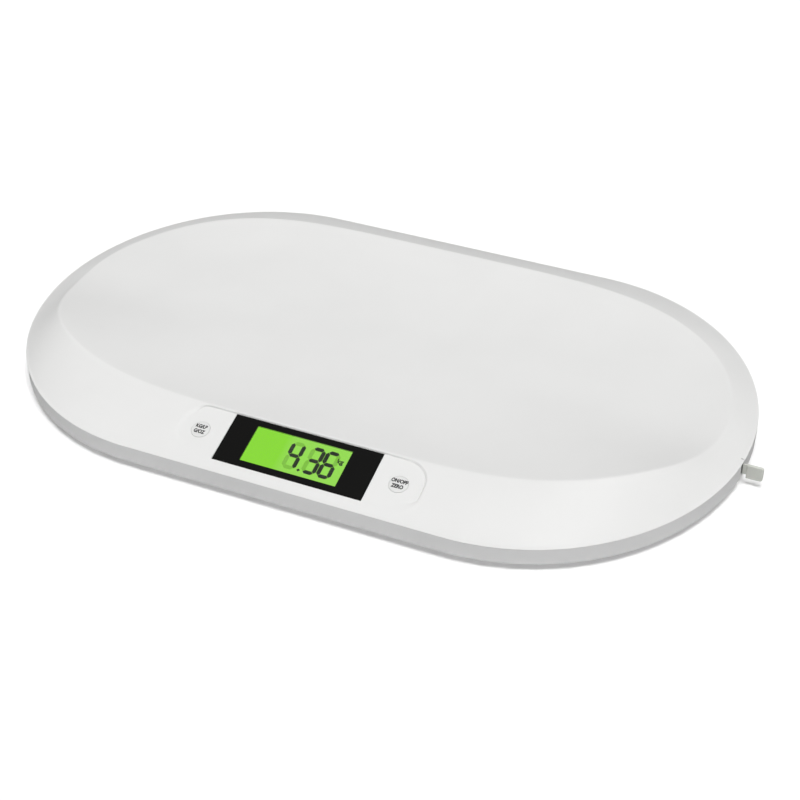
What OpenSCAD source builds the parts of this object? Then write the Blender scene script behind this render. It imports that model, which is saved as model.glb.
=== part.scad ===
// Digital baby weighing scale: a tray cover on a low base, with four weighing feet,
// a lit display with two buttons, and a pull-out measuring tape at the right end.
// Millimetres. X runs along the body, Y to the back, Z up; z = 0 is the table.

/* [Body outline] */
// Length of the body at the rim
body_len = 550; // [520:1:600]
// Width of the body at the rim
body_wid = 342; // [330:1:370]
// Length of each rounded end
end_len = 158; // [145:1:170]
// Number of facets round the outline
outline_steps = 96; // [72:8:120]

/* [Base] */
// Gap between the base floor and the table
foot_gap = 4; // [3.5:0.5:6]
// Height of the grey side wall
wall_h = 12; // [11.5:0.5:15]
// Thickness of the side wall
wall_t = 2.4; // [2:0.1:3]
// Thickness of the base floor
floor_t = 2.4; // [2:0.1:3]
// Height of the step between the floor and the side wall
step_h = 1.5; // [1:0.1:2]
// Distance that the floor is set in from the side wall
step_inset = 5; // [4:0.5:8]
// Height of the stiffening ribs on the floor
rib_h = 5; // [3:0.5:6]
// Thickness of the stiffening ribs
rib_t = 1.6; // [1.2:0.1:2]

/* [Top cover] */
// Thickness of the cover shell
cover_t = 2.5; // [2:0.1:3]
// Width of the band between the rim and the crest at the ends
band_ends = 20; // [17:0.5:25]
// Width of the band at the front
band_front = 49; // [45:0.5:53]
// Width of the band at the back
band_back = 38.5; // [31:0.5:45]
// Distance that the crest's widest line lies behind the centre
crest_shift = 12; // [0:0.5:20]
// Squareness of the crest's ends
crest_end_power = 4.6; // [3:0.1:5]
// Squareness of the crest's front
crest_front_power = 2.25; // [2:0.05:2.6]
// Squareness of the crest's back
crest_back_power = 1.8; // [1.7:0.1:2.6]
// Height of the crest over the rim at the ends
crest_end_h = 9; // [8:0.5:11]
// Height of the crest over the rim at the front
crest_front_h = 15.5; // [14.5:0.5:17]
// Height of the crest over the rim at the back
crest_back_h = 17.5; // [16:0.5:19]
// Extra height of the crest at the front corners
front_shoulder_h = 11; // [6:0.5:12]
// Height that the crest loses at the back corners
back_shoulder_drop = 3; // [0:0.5:4]
// Height of the tray's middle over the rim
tray_h = 8; // [7:0.5:9]
// How late the tray starts to rise towards its crest
tray_power = 3; // [2:0.25:4]
// Roundness of the band between the crest and the rim
band_round = 0.15; // [0:0.05:0.3]
// Depth of the locating lip below the rim
lip_h = 3; // [2:0.5:4]
// Thickness of the locating lip
lip_t = 1.8; // [1.4:0.1:2.2]
// Clearance between the lip and the side wall
lip_gap = 0.3; // [0.2:0.05:0.5]

/* [Display panel] */
// Slope of the panel facet in degrees
panel_slope = 17; // [15:0.5:19]
// Length of the panel facet
panel_len = 184; // [178:1:190]
// Distance that the panel lies to the right of the body's middle
panel_shift = 1.5; // [0:0.5:2]
// Corner radius of the panel facet
panel_r = 18; // [14:1:20]
// Depth of the window's upper edge below the crest
panel_drop = 1; // [0.8:0.1:1.2]
// Margin of the facet above the window
panel_margin_top = 0.8; // [0.5:0.1:1.5]
// Margin of the facet below the window
panel_margin_bottom = 4.5; // [3.5:0.5:5]
// Length of the display window
window_len = 111; // [104:1:114]
// Height of the display window
window_wid = 40; // [38:0.5:41]
// Thickness of the display window
window_t = 1.5; // [1.2:0.1:1.6]
// Length of the visible part of the display
view_len = 71; // [68:1:76]
// Height of the visible part of the display
view_wid = 29.5; // [27:0.5:30]
// Distance that the display's middle lies left of the window's middle
view_shift = 1; // [0:0.5:3]
// Border of the display glass round its visible part
glass_border = 1.5; // [1.2:0.1:2]
// Thickness of the display glass
glass_t = 2.8; // [2.4:0.1:3]
// Thickness of the light guide
guide_t = 1.8; // [1.4:0.1:2]
// Thickness of the main board
board_t = 1.6; // [1.2:0.1:1.6]
// Distance from each switch's middle to the end of the main board
board_end = 10; // [8:0.5:12]
// Width of the main board
board_wid = 36; // [35:1:37]
// Distance from the panel facet to the main board
board_depth = 8.4; // [8.2:0.1:9]

/* [Buttons] */
// Distance of each button from the window's middle
button_x = 74; // [72:0.5:76]
// Diameter of a button
button_d = 13.4; // [12:0.2:14]
// Gap round a button
button_gap = 0.3; // [0.25:0.05:0.4]
// Height that a button stands above the panel
button_proud = 0.4; // [0.2:0.1:0.8]
// Travel of a button
button_travel = 0.5; // [0.3:0.1:0.6]
// Width of a switch body
switch_w = 6; // [5:0.5:7]
// Height of a switch body
switch_h = 3.2; // [3:0.1:3.4]
// Diameter of a switch plunger
plunger_d = 3.4; // [3:0.1:3.6]

/* [Weighing feet] */
// Distance of each foot's middle from the body's end
foot_from_end = 100; // [90:1:110]
// Distance of each foot's middle from the body's front or back
foot_from_side = 75; // [71:1:81]
// Diameter of a foot cup
foot_d = 44; // [42:1:46]
// Thickness of a rubber foot pad
pad_t = 2; // [1.5:0.1:2.5]
// Thickness of the disc of a foot cup
foot_disc_t = 3; // [2.5:0.1:3.5]
// Diameter of the stem of a foot cup
stem_d = 9; // [8:0.5:10]
// Side length of a load cell
cell_w = 32; // [30:1:32]
// Thickness of a load cell
cell_t = 2; // [1.5:0.1:2.5]
// Height of a load cell holder
holder_h = 5; // [4.5:0.5:6]
// Clearance between a foot cup and its pocket in the base
foot_clear = 1.3; // [1:0.1:2]

/* [Measuring tape] */
// Distance of the tape's slot in front of the body's middle
tape_y = 16.5; // [14:0.5:20]
// Width of the tape
tape_w = 7; // [6:0.5:7]
// Thickness of the tape
tape_t = 0.3; // [0.25:0.05:0.5]
// Length of tape on the drum
tape_len = 1000; // [900:50:1050]
// Radius of the drum's hub
hub_r = 8; // [7.5:0.5:8.5]
// Radius of the fixed spindle
spindle_r = 2.5; // [2:0.25:3]
// Radial running clearance of the drum on its spindle
spindle_gap = 0.05; // [0.03:0.01:0.08]
// Wall thickness of the tape case
case_t = 1.6; // [1.4:0.1:2]
// Clearance round the drum in its case
case_gap = 0.6; // [0.5:0.1:1]
// Depth of the tape's middle below the rim
tape_drop = 5.5; // [4.5:0.5:5.5]
// Distance that the pull tab reaches out of the side wall
tab_len = 14.2; // [12:0.2:15]
// Height of the pull tab
tab_h = 11; // [10:0.5:11]
// Thickness of the pull tab
tab_t = 2.4; // [2:0.1:2.8]
// Corner radius of the pull tab
tab_r = 2; // [1:0.5:4]
// Depth of the pull tab's top below the rim
tab_drop = 1.5; // [1:0.1:1.5]
// Length of the thin neck between the side wall and the pull tab
neck_len = 2.7; // [2:0.1:3.5]
// Thickness of the neck
neck_t = 1.2; // [1:0.1:1.4]
// Width of the slot in the side wall
slot_w = 5.4; // [5:0.2:5.6]
// Distance that the slot's middle lies in front of the tape
slot_shift = 1.2; // [0.6:0.1:1.4]

/* [Batteries] */
// Distance of the battery bay behind the body's middle
bay_y = 52; // [46:1:58]
// Diameter of a battery
battery_d = 10.5; // [10:0.1:10.5]
// Length of a battery
battery_len = 44.5; // [44:0.1:44.5]
// Number of batteries side by side
battery_count = 3; // [2:1:3]
// Clearance round each battery
battery_gap = 0.5; // [0.4:0.1:0.8]
// Wall thickness of the battery bay
bay_t = 1.6; // [1.4:0.1:2]
// Thickness of the battery door
door_t = 2; // [1.8:0.1:2.2]
// Gap round the battery door
door_gap = 0.5; // [0.4:0.1:0.7]
// Radius of the door's hinge pins
door_pin_r = 0.9; // [0.8:0.05:1]
// Radial running clearance of the hinge pins
door_pin_gap = 0.05; // [0.03:0.01:0.08]

/* [Screws] */
// Diameter of a housing screw's shank
screw_d = 3; // [2.6:0.1:3.5]
// Diameter of a housing screw's head
screw_head_d = 6; // [5.5:0.1:7]
// Length of a housing screw under its head
screw_len = 12; // [10:0.5:12]
// Diameter of a screw boss
boss_d = 7.2; // [7:0.2:8]

/* [Hidden] */

$fn = 64;
eps = 0.01;
white = [0.93, 0.93, 0.92];
grey = [0.76, 0.77, 0.77];

// plan
straight_run = body_len - 2 * end_len;
crest_half_len = body_len / 2 - band_ends;
crest_front = body_wid / 2 - band_front;
crest_back = body_wid / 2 - band_back;
foot_x = body_len / 2 - foot_from_end;
foot_y = body_wid / 2 - foot_from_side;

// levels
floor_z = foot_gap + floor_t;          // upper face of the base floor
wall_z = foot_gap + step_h;            // lower edge of the side wall
rim_z = wall_z + wall_h;               // plane where the cover meets the wall
crest_steps = 3;                       // rings across the band
tray_rings = [0.94, 0.84, 0.7, 0.52, 0.3, 0.12];
roof_z = floor_z + 6;                  // underside of the roof over each foot
step_t = 2;                            // thickness of the step under the side wall

// pull tab, and the origin under the middle of the whole length
wall_x = straight_run / 2 + end_len * sqrt(1 - pow(2 * tape_y / body_wid, 2));
tab_root = wall_x - wall_t;
tab_end = wall_x + tab_len;
grip_len = tab_len - neck_len;
end_x = outline_point(180 / outline_steps)[0];
module placed() translate([(end_x - tab_end) / 2, 0, 0]) children();
slot_y = -tape_y - slot_shift;

// display stack, measured down from the facet
window_gap = 0.15;
guide_z = -window_t - glass_t - guide_t;
frame_wall = 1.2;
board_len = 2 * (button_x + board_end);
strip_w = 1.2;
strip_l = view_len - 6;
strip_y = -view_wid / 2 - strip_w / 2;
chip_x = -14;
chip_w = 12;
chip_t = 1.6;
board_screw_d = 1.7;
plunger_gap = 0.05;
plunger_z = 1.4;
plunger_out = 0.8;
flange_gap = 0.4;
flange_t = 1;
stem_z = switch_h + plunger_out - board_depth;

// feet
pocket_wall = 1.6;
holder_ledge = 2;
cell_r = 5;
pad_d = foot_d - 4;
cup_z = pad_t - 0.8;
rib_gap = 144;

// tape
tape_x = body_len / 2 - 53;
tape_start = 0.05;
tape_z = rim_z - tape_drop;
flange_space = 0.1;
drum_flange = 0.8;
coil_r = sqrt(tape_len * tape_t / PI + pow(hub_r + tape_start, 2));
drum_r = coil_r + 0.8;
drum_y = coil_r - tape_y - tape_t / 2;
drum_half = tape_w / 2 + flange_space + drum_flange;
case_r = drum_r + case_gap + case_t;
axial_gap = 0.2;
lid_z = tape_z + drum_half + axial_gap;
lid_t = 1.2;
case_floor = tape_z - drum_half - axial_gap - floor_z;
lid_pin_r = 1.5;
hub_wall = 1.2;
spring_turns = 4;
spiral_steps = 20;
ribbon_t = 0.2;
blade_start = sqrt(pow(coil_r, 2) - pow(coil_r - tape_t, 2)) + 0.3;
ear_t = 1.6;
ear_d = 7;
peg_d = 3;
ear_spots = [for (s = [-1, 1]) [tape_x, drum_y + s * (case_r + 2)]];

// batteries
contact_t = 0.4;
plate_h = 9;
spring_l = 6;
spring_wire = 0.7;
nub_h = 1.2;
battery_step = battery_d + battery_gap;
cell_axis = foot_gap + door_t + 0.4 + battery_d / 2;
bay_l = battery_len + 2 * contact_t + spring_l;
bay_w = battery_count * battery_step + battery_gap;
bay_roof = cell_axis + battery_d / 2 + 0.5 + bay_t;
barrel_r = 1.9;
hinge_z = foot_gap + barrel_r;
hinge_y = bay_y + bay_w / 2 + bay_t + barrel_r + door_gap;
door_l = bay_l + 5;
door_front = bay_y - bay_w / 2 - 3;
pin_reach = door_l / 2 + door_gap + 2;
skirt_l = 2 * (pin_reach + 2);
skirt_front = door_front - door_gap - 2.2;
skirt_back = hinge_y + barrel_r + door_gap + 1.6;
skirt_w = skirt_back - skirt_front;
skirt_y = (skirt_back + skirt_front) / 2;
skirt_h = 2 * barrel_r + door_gap + 1.2;

// screws and leads
screw_seat = 3.5;
screw_head_h = 2.2;
lead_d = 1.8;
lead_gate = 3;
lead_z = floor_z + lead_d / 2;
lead_bay_z = 14;
lead_gap = 0.35;                       // between a lead's end and what it is soldered to
cell_lead_y = 12;

// ---- outline of the body: a straight run with elliptical ends ----
// ray factor that brings a direction from the centre onto the outline
function end_ray(c, s, h, a) =
    let (k = a - h, qa = pow(a * c / k, 2) + s * s, qb = -2 * a * c * h / (k * k),
         qc = pow(h / k, 2) - 1)
    (-qb + sqrt(qb * qb - 4 * qa * qc)) / (2 * qa);
function outline_point(ang, inset = 0) =
    let (c = abs(cos(ang)), s = abs(sin(ang)), h = straight_run / 2,
         a = body_len / 2 - inset, b = body_wid / 2 - inset,
         r = (a * c <= h * s) ? 1 / s : end_ray(c, s, h, a))
    [sign(cos(ang)) * a * c * r, sign(sin(ang)) * b * s * r];
function outline(inset = 0) =
    [for (i = [0 : outline_steps - 1]) outline_point(360 * (i + 0.5) / outline_steps, inset)];

// ---- crest line of the tray: a squared oval whose height changes round it ----
function crest_m(ang) = sin(ang) < 0 ? crest_front_power : crest_back_power;
function crest_b(front) = front ? crest_front + crest_shift : crest_back - crest_shift;
// share of the crest that belongs to the ends, 1 at an end and 0 at the middle of a side
function end_share(ang) =
    let (p = pow(abs(cos(ang)), crest_end_power), q = pow(abs(sin(ang)), crest_m(ang)))
    p / (p + q);
function crest_h(e, front) = crest_end_h * e + (front ? crest_front_h : crest_back_h) * (1 - e)
    + (front ? front_shoulder_h : -back_shoulder_drop) * 4 * e * (1 - e);
function crest_point(ang) =
    let (e = end_share(ang), front = sin(ang) < 0)
    [sign(cos(ang)) * crest_half_len * pow(e, 1 / crest_end_power),
     crest_shift + sign(sin(ang)) * crest_b(front) * pow(1 - e, 1 / crest_m(ang)),
     rim_z + crest_h(e, front)];

// a point of the cover's outer skin: v from 0 at the rim to 1 at the crest
function band_rise(v) = v + band_round * v * (1 - v);
function band_point(ang, v) =
    let (p = outline_point(ang), q = crest_point(ang))
    [p[0] + (q[0] - p[0]) * v, p[1] + (q[1] - p[1]) * v, rim_z + (q[2] - rim_z) * band_rise(v)];
// u from 0 at the tray's middle to 1 at the crest
function tray_point(ang, u) =
    let (q = crest_point(ang))
    [q[0] * u, crest_shift + (q[1] - crest_shift) * u,
     rim_z + tray_h + (q[2] - rim_z - tray_h) * pow(u, tray_power)];
// height of the tray over a place x, y that lies inside the crest
function ring_error(x, y, u) =
    let (front = y < crest_shift, m = front ? crest_front_power : crest_back_power)
    pow(abs(x) / (u * crest_half_len), crest_end_power)
    + pow(abs(y - crest_shift) / (u * crest_b(front)), m) - 1;
function ring_of(x, y, lo = 0.01, hi = 1.5, n = 24) =
    n == 0 ? (lo + hi) / 2 :
    let (mid = (lo + hi) / 2) ring_error(x, y, mid) > 0 ? ring_of(x, y, mid, hi, n - 1)
                                                        : ring_of(x, y, lo, mid, n - 1);
function tray_z(x, y) =
    let (u = ring_of(x, y), e = pow(abs(x) / (u * crest_half_len), crest_end_power))
    rim_z + tray_h + (crest_h(e, y < crest_shift) - tray_h) * pow(u, tray_power);

// ---- general helpers ----
module round_plate(l, w, h, r) {
    linear_extrude(h) {
        square([l - 2 * r, w], center = true);
        square([l, w - 2 * r], center = true);
        for (x = [-1, 1], y = [-1, 1])
            translate([x * (l / 2 - r), y * (w / 2 - r)]) circle(r);
    }
}
module box_at(x, y, z, l, w, h) translate([x - l / 2, y - w / 2, z]) cube([l, w, h]);
module tube(r_out, r_in, h) difference() {
    cylinder(r = r_out, h = h);
    translate([0, 0, -1]) cylinder(r = r_in, h = h + 2);
}
// closes stacked rings of n points into one solid; the last ring's middle is the point tip
function ring_faces(rings, n) =
    [for (k = [0 : rings - 2], i = [0 : n - 1], t = [0, 1])
        let (j = (i + 1) % n, a = k * n)
        t == 0 ? [a + i, a + j, a + n + i] : [a + j, a + n + j, a + n + i]];
// a round tube swept along a list of points, with a ring of sides at each point
function unit(v) = v / norm(v);
function tangent(p, i) = unit(p[min(i + 1, len(p) - 1)] - p[max(i - 1, 0)]);
module swept_tube(path, d, sides) {
    n = len(path);
    rings = [for (i = [0 : n - 1])
        let (t = tangent(path, i), a = unit(cross(t, abs(t[2]) < 0.9 ? [0, 0, 1] : [1, 0, 0])),
             b = cross(a, t))
        for (k = [0 : sides - 1])
            path[i] + (a * cos(360 * k / sides) + b * sin(360 * k / sides)) * d / 2];
    caps = [[for (k = [0 : sides - 1]) sides - 1 - k],
            [for (k = [0 : sides - 1]) (n - 1) * sides + k]];
    polyhedron(rings, concat(ring_faces(n, sides), caps));
}

// ---- top cover ----
function skin_rings(angs) = concat(
    [for (k = [0 : crest_steps]) for (a = angs) band_point(a, k / crest_steps)],
    [for (u = tray_rings) for (a = angs) tray_point(a, u)]);
function inner_start(ang) = cover_t / (crest_point(ang)[2] - rim_z) / (1 + band_round);
function lining_rings(angs) = concat(
    [for (k = [0 : crest_steps]) for (a = angs)
        let (v0 = inner_start(a), v = v0 + (1 - v0) * k / crest_steps, p = band_point(a, v))
        [p[0], p[1], k == 0 ? rim_z : p[2] - cover_t]],
    [for (u = tray_rings) for (a = angs) tray_point(a, u) - [0, 0, cover_t]]);
module cover_skin() {
    n = outline_steps;
    angs = [for (i = [0 : n - 1]) 360 * (i + 0.5) / n];
    count = crest_steps + 1 + len(tray_rings);
    top = skin_rings(angs);
    low = lining_rings(angs);
    tip = [[0, crest_shift, rim_z + tray_h], [0, crest_shift, rim_z + tray_h - cover_t]];
    half = count * n;
    last = (count - 1) * n;
    outer = [for (f = ring_faces(count, n)) [f[0], f[2], f[1]]];
    inner = [for (f = ring_faces(count, n)) f + [half, half, half]];
    rim = [for (i = [0 : n - 1], t = [0, 1]) let (j = (i + 1) % n)
        t == 0 ? [i, j, half + i] : [j, half + j, half + i]];
    caps = [for (i = [0 : n - 1], t = [0, 1]) let (j = (i + 1) % n)
        t == 0 ? [last + i, 2 * half, last + j] : [half + last + i, half + last + j, 2 * half + 1]];
    polyhedron(concat(top, low, tip), concat(outer, inner, rim, caps));
}
// frame of the display panel: origin at the window's middle, Z out of the facet
window_top_y = -crest_front - 1.5;
panel_y = window_top_y - window_wid / 2 * cos(panel_slope);
panel_z = rim_z + crest_front_h - panel_drop - window_wid / 2 * sin(panel_slope);
module on_panel() translate([panel_shift, panel_y, panel_z]) rotate([panel_slope, 0, 0]) children();
facet_top = window_wid / 2 + panel_margin_top;
facet_bottom = window_wid / 2 + panel_margin_bottom;
facet_wid = facet_top + facet_bottom;
facet_mid = (facet_top - facet_bottom) / 2;
block_rim = 2.5;                        // width of the thickening round the facet
block_top = -1.2;                       // its upper face lies within the cover's shell
module panel_block() translate([0, facet_mid, -cover_t])
    round_plate(panel_len + 2 * block_rim, facet_wid + 2 * block_rim, cover_t + block_top,
                panel_r + block_rim);
module panel_facet() translate([0, facet_mid, 0])
    round_plate(panel_len, facet_wid, 4 * cover_t, panel_r);
glass_len = view_len + 2 * glass_border;
glass_wid = view_wid + 2 * glass_border;
post_x = glass_len / 2 + view_shift + 6; // board posts clear of the display frame
post_y = 12;
post_d = 5.2;
pilot_d = board_screw_d + 0.1;
side_screw_x = foot_x - 65;
end_screw_x = body_len / 2 - 43;
end_screw_y = foot_y - 50;
screw_spots = [for (s = [-1, 1]) each [[s * side_screw_x, -foot_y], [s * side_screw_x, foot_y],
                                       [s * end_screw_x, end_screw_y]]];
boss_top = rim_z - 3;                   // where the base bosses meet the cover bosses
notch_len = 6;
notch_w = 1.2;
module top_cover() color(white) placed() difference() {
    union() {
        cover_skin();
        on_panel() panel_block();
        // locating lip that drops inside the side wall
        translate([0, 0, rim_z - lip_h]) linear_extrude(lip_h + 0.4) difference() {
            polygon(outline(wall_t + lip_gap));
            polygon(outline(wall_t + lip_gap + lip_t));
        }
        for (p = screw_spots) translate([p[0], p[1], boss_top])
            cylinder(d = boss_d, h = tray_z(p[0], p[1]) - cover_t / 2 - boss_top);
        on_panel() for (x = [-1, 1], y = [-1, 1])
            translate([x * post_x, y * post_y, -board_depth])
                cylinder(d = post_d, h = board_depth - cover_t + 0.5);
    }
    on_panel() {
        panel_facet();
        translate([0, 0, -window_t]) box_at(0, 0, 0, window_len, window_wid, 2 * cover_t);
        box_at(-view_shift, 0, -2 * cover_t, glass_len, glass_wid, 3 * cover_t);
        for (x = [-1, 1]) translate([x * button_x, 0, -2 * cover_t])
            cylinder(d = button_d + 2 * button_gap, h = 4 * cover_t);
        for (x = [-1, 1], y = [-1, 1]) translate([x * post_x, y * post_y, -board_depth - 1])
            cylinder(d = pilot_d, h = board_depth - cover_t);
    }
    for (p = screw_spots) translate([p[0], p[1], boss_top - 1])
        cylinder(d = screw_d + 0.1, h = tray_z(p[0], p[1]) - 2 * cover_t - boss_top + 1);
    // notch over the tape's slot, and room for the tape in the lip
    box_at(body_len / 2, slot_y + slot_w / 2, rim_z - 1, 2 * notch_len, notch_w, cover_t + 1);
    box_at(body_len / 2 - 5, slot_y, rim_z - lip_h - 1, 12, slot_w + 1, lip_h + 1);
}

foot_spots = [[-foot_x, -foot_y], [foot_x, -foot_y], [-foot_x, foot_y], [foot_x, foot_y]];
pocket_d = foot_d + 2 * foot_clear;
holder_z = roof_z - holder_h;
lead_cell_z = roof_z - holder_ledge + lead_d / 2;
cell_z = roof_z - holder_ledge - cell_t;

// ---- base ----
module pocket_outside(p) translate([p[0], p[1], foot_gap])
    cylinder(d = pocket_d + 2 * pocket_wall, h = roof_z + pocket_wall - foot_gap);
module pocket_inside(p) {
    side = p[1] < 0 ? 1 : -1;
    translate([p[0], p[1], foot_gap - 1]) cylinder(d = pocket_d, h = roof_z - foot_gap + 1);
    box_at(p[0], p[1] + side * pocket_d / 2, roof_z - lead_gate, lead_gate, 3 * pocket_wall,
           lead_gate);
}
module base_boss(p) translate([p[0], p[1], foot_gap])
    cylinder(d = boss_d + 2.4, h = boss_top - foot_gap);
module base_boss_bore(p) {
    translate([p[0], p[1], foot_gap - 1]) cylinder(d = screw_head_d + 1, h = screw_seat + 1);
    translate([p[0], p[1], foot_gap]) cylinder(d = screw_d + 0.4, h = boss_top);
}
module base_shell() color(grey) placed() difference() {
    union() {
        translate([0, 0, foot_gap]) linear_extrude(floor_t) polygon(outline(step_inset));
        translate([0, 0, wall_z]) linear_extrude(step_t) difference() {
            polygon(outline());
            polygon(outline(step_inset + 3));
        }
        translate([0, 0, wall_z]) linear_extrude(wall_h) difference() {
            polygon(outline());
            polygon(outline(wall_t));
        }
        for (p = foot_spots) pocket_outside(p);
        for (p = screw_spots) base_boss(p);
        // ribs between the foot pockets and the screw bosses
        box_at(0, foot_y, floor_z - eps, 2 * foot_x - pocket_d, rib_t, rib_h);
        for (s = [-1, 1])
            box_at(s * (foot_x + rib_gap / 2) / 2, -foot_y, floor_z - eps,
                   foot_x - rib_gap / 2 - pocket_d / 2, rib_t, rib_h);
        // battery bay: a skirt for the door's edge, and the walls and roof over the cells
        box_at(0, skirt_y, foot_gap, skirt_l, skirt_w, skirt_h);
        box_at(0, bay_y, foot_gap, bay_l + 2 * bay_t, bay_w + 2 * bay_t, bay_roof - foot_gap);
        // pegs that hold the tape case by its ears
        for (p = ear_spots) translate([p[0], p[1], floor_z - eps])
            cylinder(d = peg_d, h = ear_t + 1.2);
    }
    for (p = foot_spots) pocket_inside(p);
    for (p = screw_spots) base_boss_bore(p);
    // inside of the battery bay, with the seat of its door
    box_at(0, bay_y, foot_gap - 1, bay_l, bay_w, bay_roof - bay_t - foot_gap + 1);
    box_at(0, (door_front + hinge_y) / 2 - door_gap / 2, foot_gap - 1, door_l + 2 * door_gap,
           hinge_y - door_front + door_gap, door_t + 1.2);
    translate([0, hinge_y, hinge_z]) rotate([0, 90, 0]) {
        translate([0, 0, -door_l / 2 - door_gap])
            cylinder(r = barrel_r + door_gap, h = door_l + 2 * door_gap);
        translate([0, 0, -pin_reach - 0.3])
            cylinder(r = door_pin_r + door_pin_gap, h = 2 * pin_reach + 0.6);
    }
    box_at(0, hinge_y, foot_gap - 1, door_l + 2 * door_gap, 2 * barrel_r + 2 * door_gap,
           hinge_z - foot_gap + 1);
    translate([bay_l / 2 - 1, bay_y, lead_bay_z]) rotate([0, 90, 0])
        cylinder(d = lead_d + 0.6, h = bay_t + 2);
    // slot for the tape, through the whole height of the side wall
    box_at(wall_x, slot_y, foot_gap - 1, 2 * wall_t + 2, slot_w, rim_z);
}

// ---- display ----
module display_window() color([0.08, 0.08, 0.08]) placed() on_panel()
    translate([0, 0, -window_t])
        box_at(0, 0, 0, window_len - 2 * window_gap, window_wid - 2 * window_gap, window_t);
module lcd_glass() color([0.55, 0.87, 0.25]) placed() on_panel()
    box_at(-view_shift, 0, -window_t - glass_t, glass_len - 0.2, glass_wid - 0.2, glass_t);
module light_guide() color([0.9, 0.95, 0.9]) placed() on_panel()
    box_at(-view_shift, 0, guide_z, view_len, view_wid, guide_t);
module lcd_frame() color(white) placed() on_panel() difference() {
    box_at(-view_shift, 0, -board_depth, glass_len + 2 * frame_wall, glass_wid + 2 * frame_wall,
           board_depth - cover_t);
    box_at(-view_shift, 0, guide_z, glass_len, glass_wid, board_depth);
    box_at(-view_shift, strip_y, -board_depth - 1, strip_l + 0.4, strip_w + 0.4, board_depth);
}
module contact_strip() color([0.15, 0.15, 0.16]) placed() on_panel()
    box_at(-view_shift, strip_y, -board_depth, strip_l, strip_w,
           board_depth - window_t - glass_t);
module main_board() color([0.1, 0.42, 0.22]) placed() on_panel() difference() {
    box_at(0, 0, -board_depth - board_t, board_len, board_wid, board_t);
    for (x = [-1, 1], y = [-1, 1]) translate([x * post_x, y * post_y, -board_depth - board_t - 1])
        cylinder(d = board_screw_d + 0.4, h = board_t + 2);
}
module control_chip() color([0.12, 0.12, 0.12]) placed() on_panel()
    box_at(chip_x, 0, -board_depth - board_t - chip_t, chip_w, chip_w, chip_t);
module board_screws() color([0.7, 0.7, 0.72]) placed() on_panel()
    for (x = [-1, 1], y = [-1, 1]) translate([x * post_x, y * post_y, -board_depth - board_t]) {
        translate([0, 0, -1.4]) cylinder(d = 4, h = 1.4);
        translate([0, 0, -eps]) cylinder(d = board_screw_d, h = 5);
    }
module tact_switches() color([0.14, 0.14, 0.15]) placed() on_panel() for (x = [-1, 1])
    translate([x * button_x, 0, -board_depth]) difference() {
        box_at(0, 0, 0, switch_w, switch_w, switch_h);
        translate([0, 0, plunger_z - button_travel - 0.2])
            cylinder(d = plunger_d + 2 * plunger_gap, h = switch_h);
    }
module plunger(side) on_panel() translate([side * button_x, 0, -board_depth + plunger_z])
    cylinder(d = plunger_d, h = switch_h + plunger_out - plunger_z);
module left_plunger() color([0.85, 0.83, 0.78]) placed() plunger(-1);
module right_plunger() color([0.85, 0.83, 0.78]) placed() plunger(1);
module button(side) on_panel() translate([side * button_x, 0, 0]) {
    translate([0, 0, -cover_t - flange_gap - flange_t])
        cylinder(d = button_d, h = cover_t + flange_gap + flange_t + button_proud);
    translate([0, 0, -cover_t - flange_gap - flange_t])
        cylinder(d = button_d + 2.8, h = flange_t);
    translate([0, 0, stem_z]) cylinder(d = 4, h = -cover_t - stem_z);
}
module left_button() color([0.72, 0.73, 0.73]) placed() button(-1);
module right_button() color([0.72, 0.73, 0.73]) placed() button(1);

// ---- weighing feet ----
module cell_holder(i) translate([foot_spots[i][0], foot_spots[i][1], holder_z]) {
    side = foot_spots[i][1] < 0 ? 1 : -1;
    difference() {
        cylinder(d = pocket_d - 0.4, h = holder_h);
        translate([0, 0, -1]) round_plate(cell_w + 0.4, cell_w + 0.4,
                                          holder_h - holder_ledge + 1, cell_r + 0.2);
        translate([0, 0, -1]) round_plate(cell_w - 8, cell_w - 8, holder_h + 2, cell_r);
        box_at(0, side * pocket_d / 2, holder_h - lead_gate, lead_gate, pocket_d, lead_gate + 1);
    }
}
module load_cell(i) translate([foot_spots[i][0], foot_spots[i][1], cell_z]) {
    side = foot_spots[i][1] < 0 ? 1 : -1;
    difference() {
        round_plate(cell_w, cell_w, cell_t, cell_r);
        difference() {
            box_at(0, -side * 1, -1, cell_w - 12, cell_w - 12, cell_t + 2);
            box_at(0, side * 2, -2, cell_w - 20, cell_w - 14, cell_t + 4);
        }
    }
    box_at(0, side * (cell_lead_y - 3), cell_t - eps, 9, 5, 0.6);
}
module foot_cup(i) translate([foot_spots[i][0], foot_spots[i][1], 0]) difference() {
    union() {
        translate([0, 0, cup_z]) cylinder(d = foot_d, h = foot_disc_t);
        translate([0, 0, cup_z]) cylinder(d = stem_d, h = cell_z - cup_z);
    }
    translate([0, 0, cup_z - 1]) cylinder(d = pad_d + 0.3, h = pad_t - cup_z + 1);
}
module foot_pad(i) translate([foot_spots[i][0], foot_spots[i][1], 0]) cylinder(d = pad_d, h = pad_t);
module cell_holder_fl() color([0.8, 0.8, 0.8]) placed() cell_holder(0);
module cell_holder_fr() color([0.8, 0.8, 0.8]) placed() cell_holder(1);
module cell_holder_bl() color([0.8, 0.8, 0.8]) placed() cell_holder(2);
module cell_holder_br() color([0.8, 0.8, 0.8]) placed() cell_holder(3);
module load_cell_fl() color([0.62, 0.64, 0.66]) placed() load_cell(0);
module load_cell_fr() color([0.62, 0.64, 0.66]) placed() load_cell(1);
module load_cell_bl() color([0.62, 0.64, 0.66]) placed() load_cell(2);
module load_cell_br() color([0.62, 0.64, 0.66]) placed() load_cell(3);
module foot_cup_fl() color([0.75, 0.75, 0.75]) placed() foot_cup(0);
module foot_cup_fr() color([0.75, 0.75, 0.75]) placed() foot_cup(1);
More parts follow.
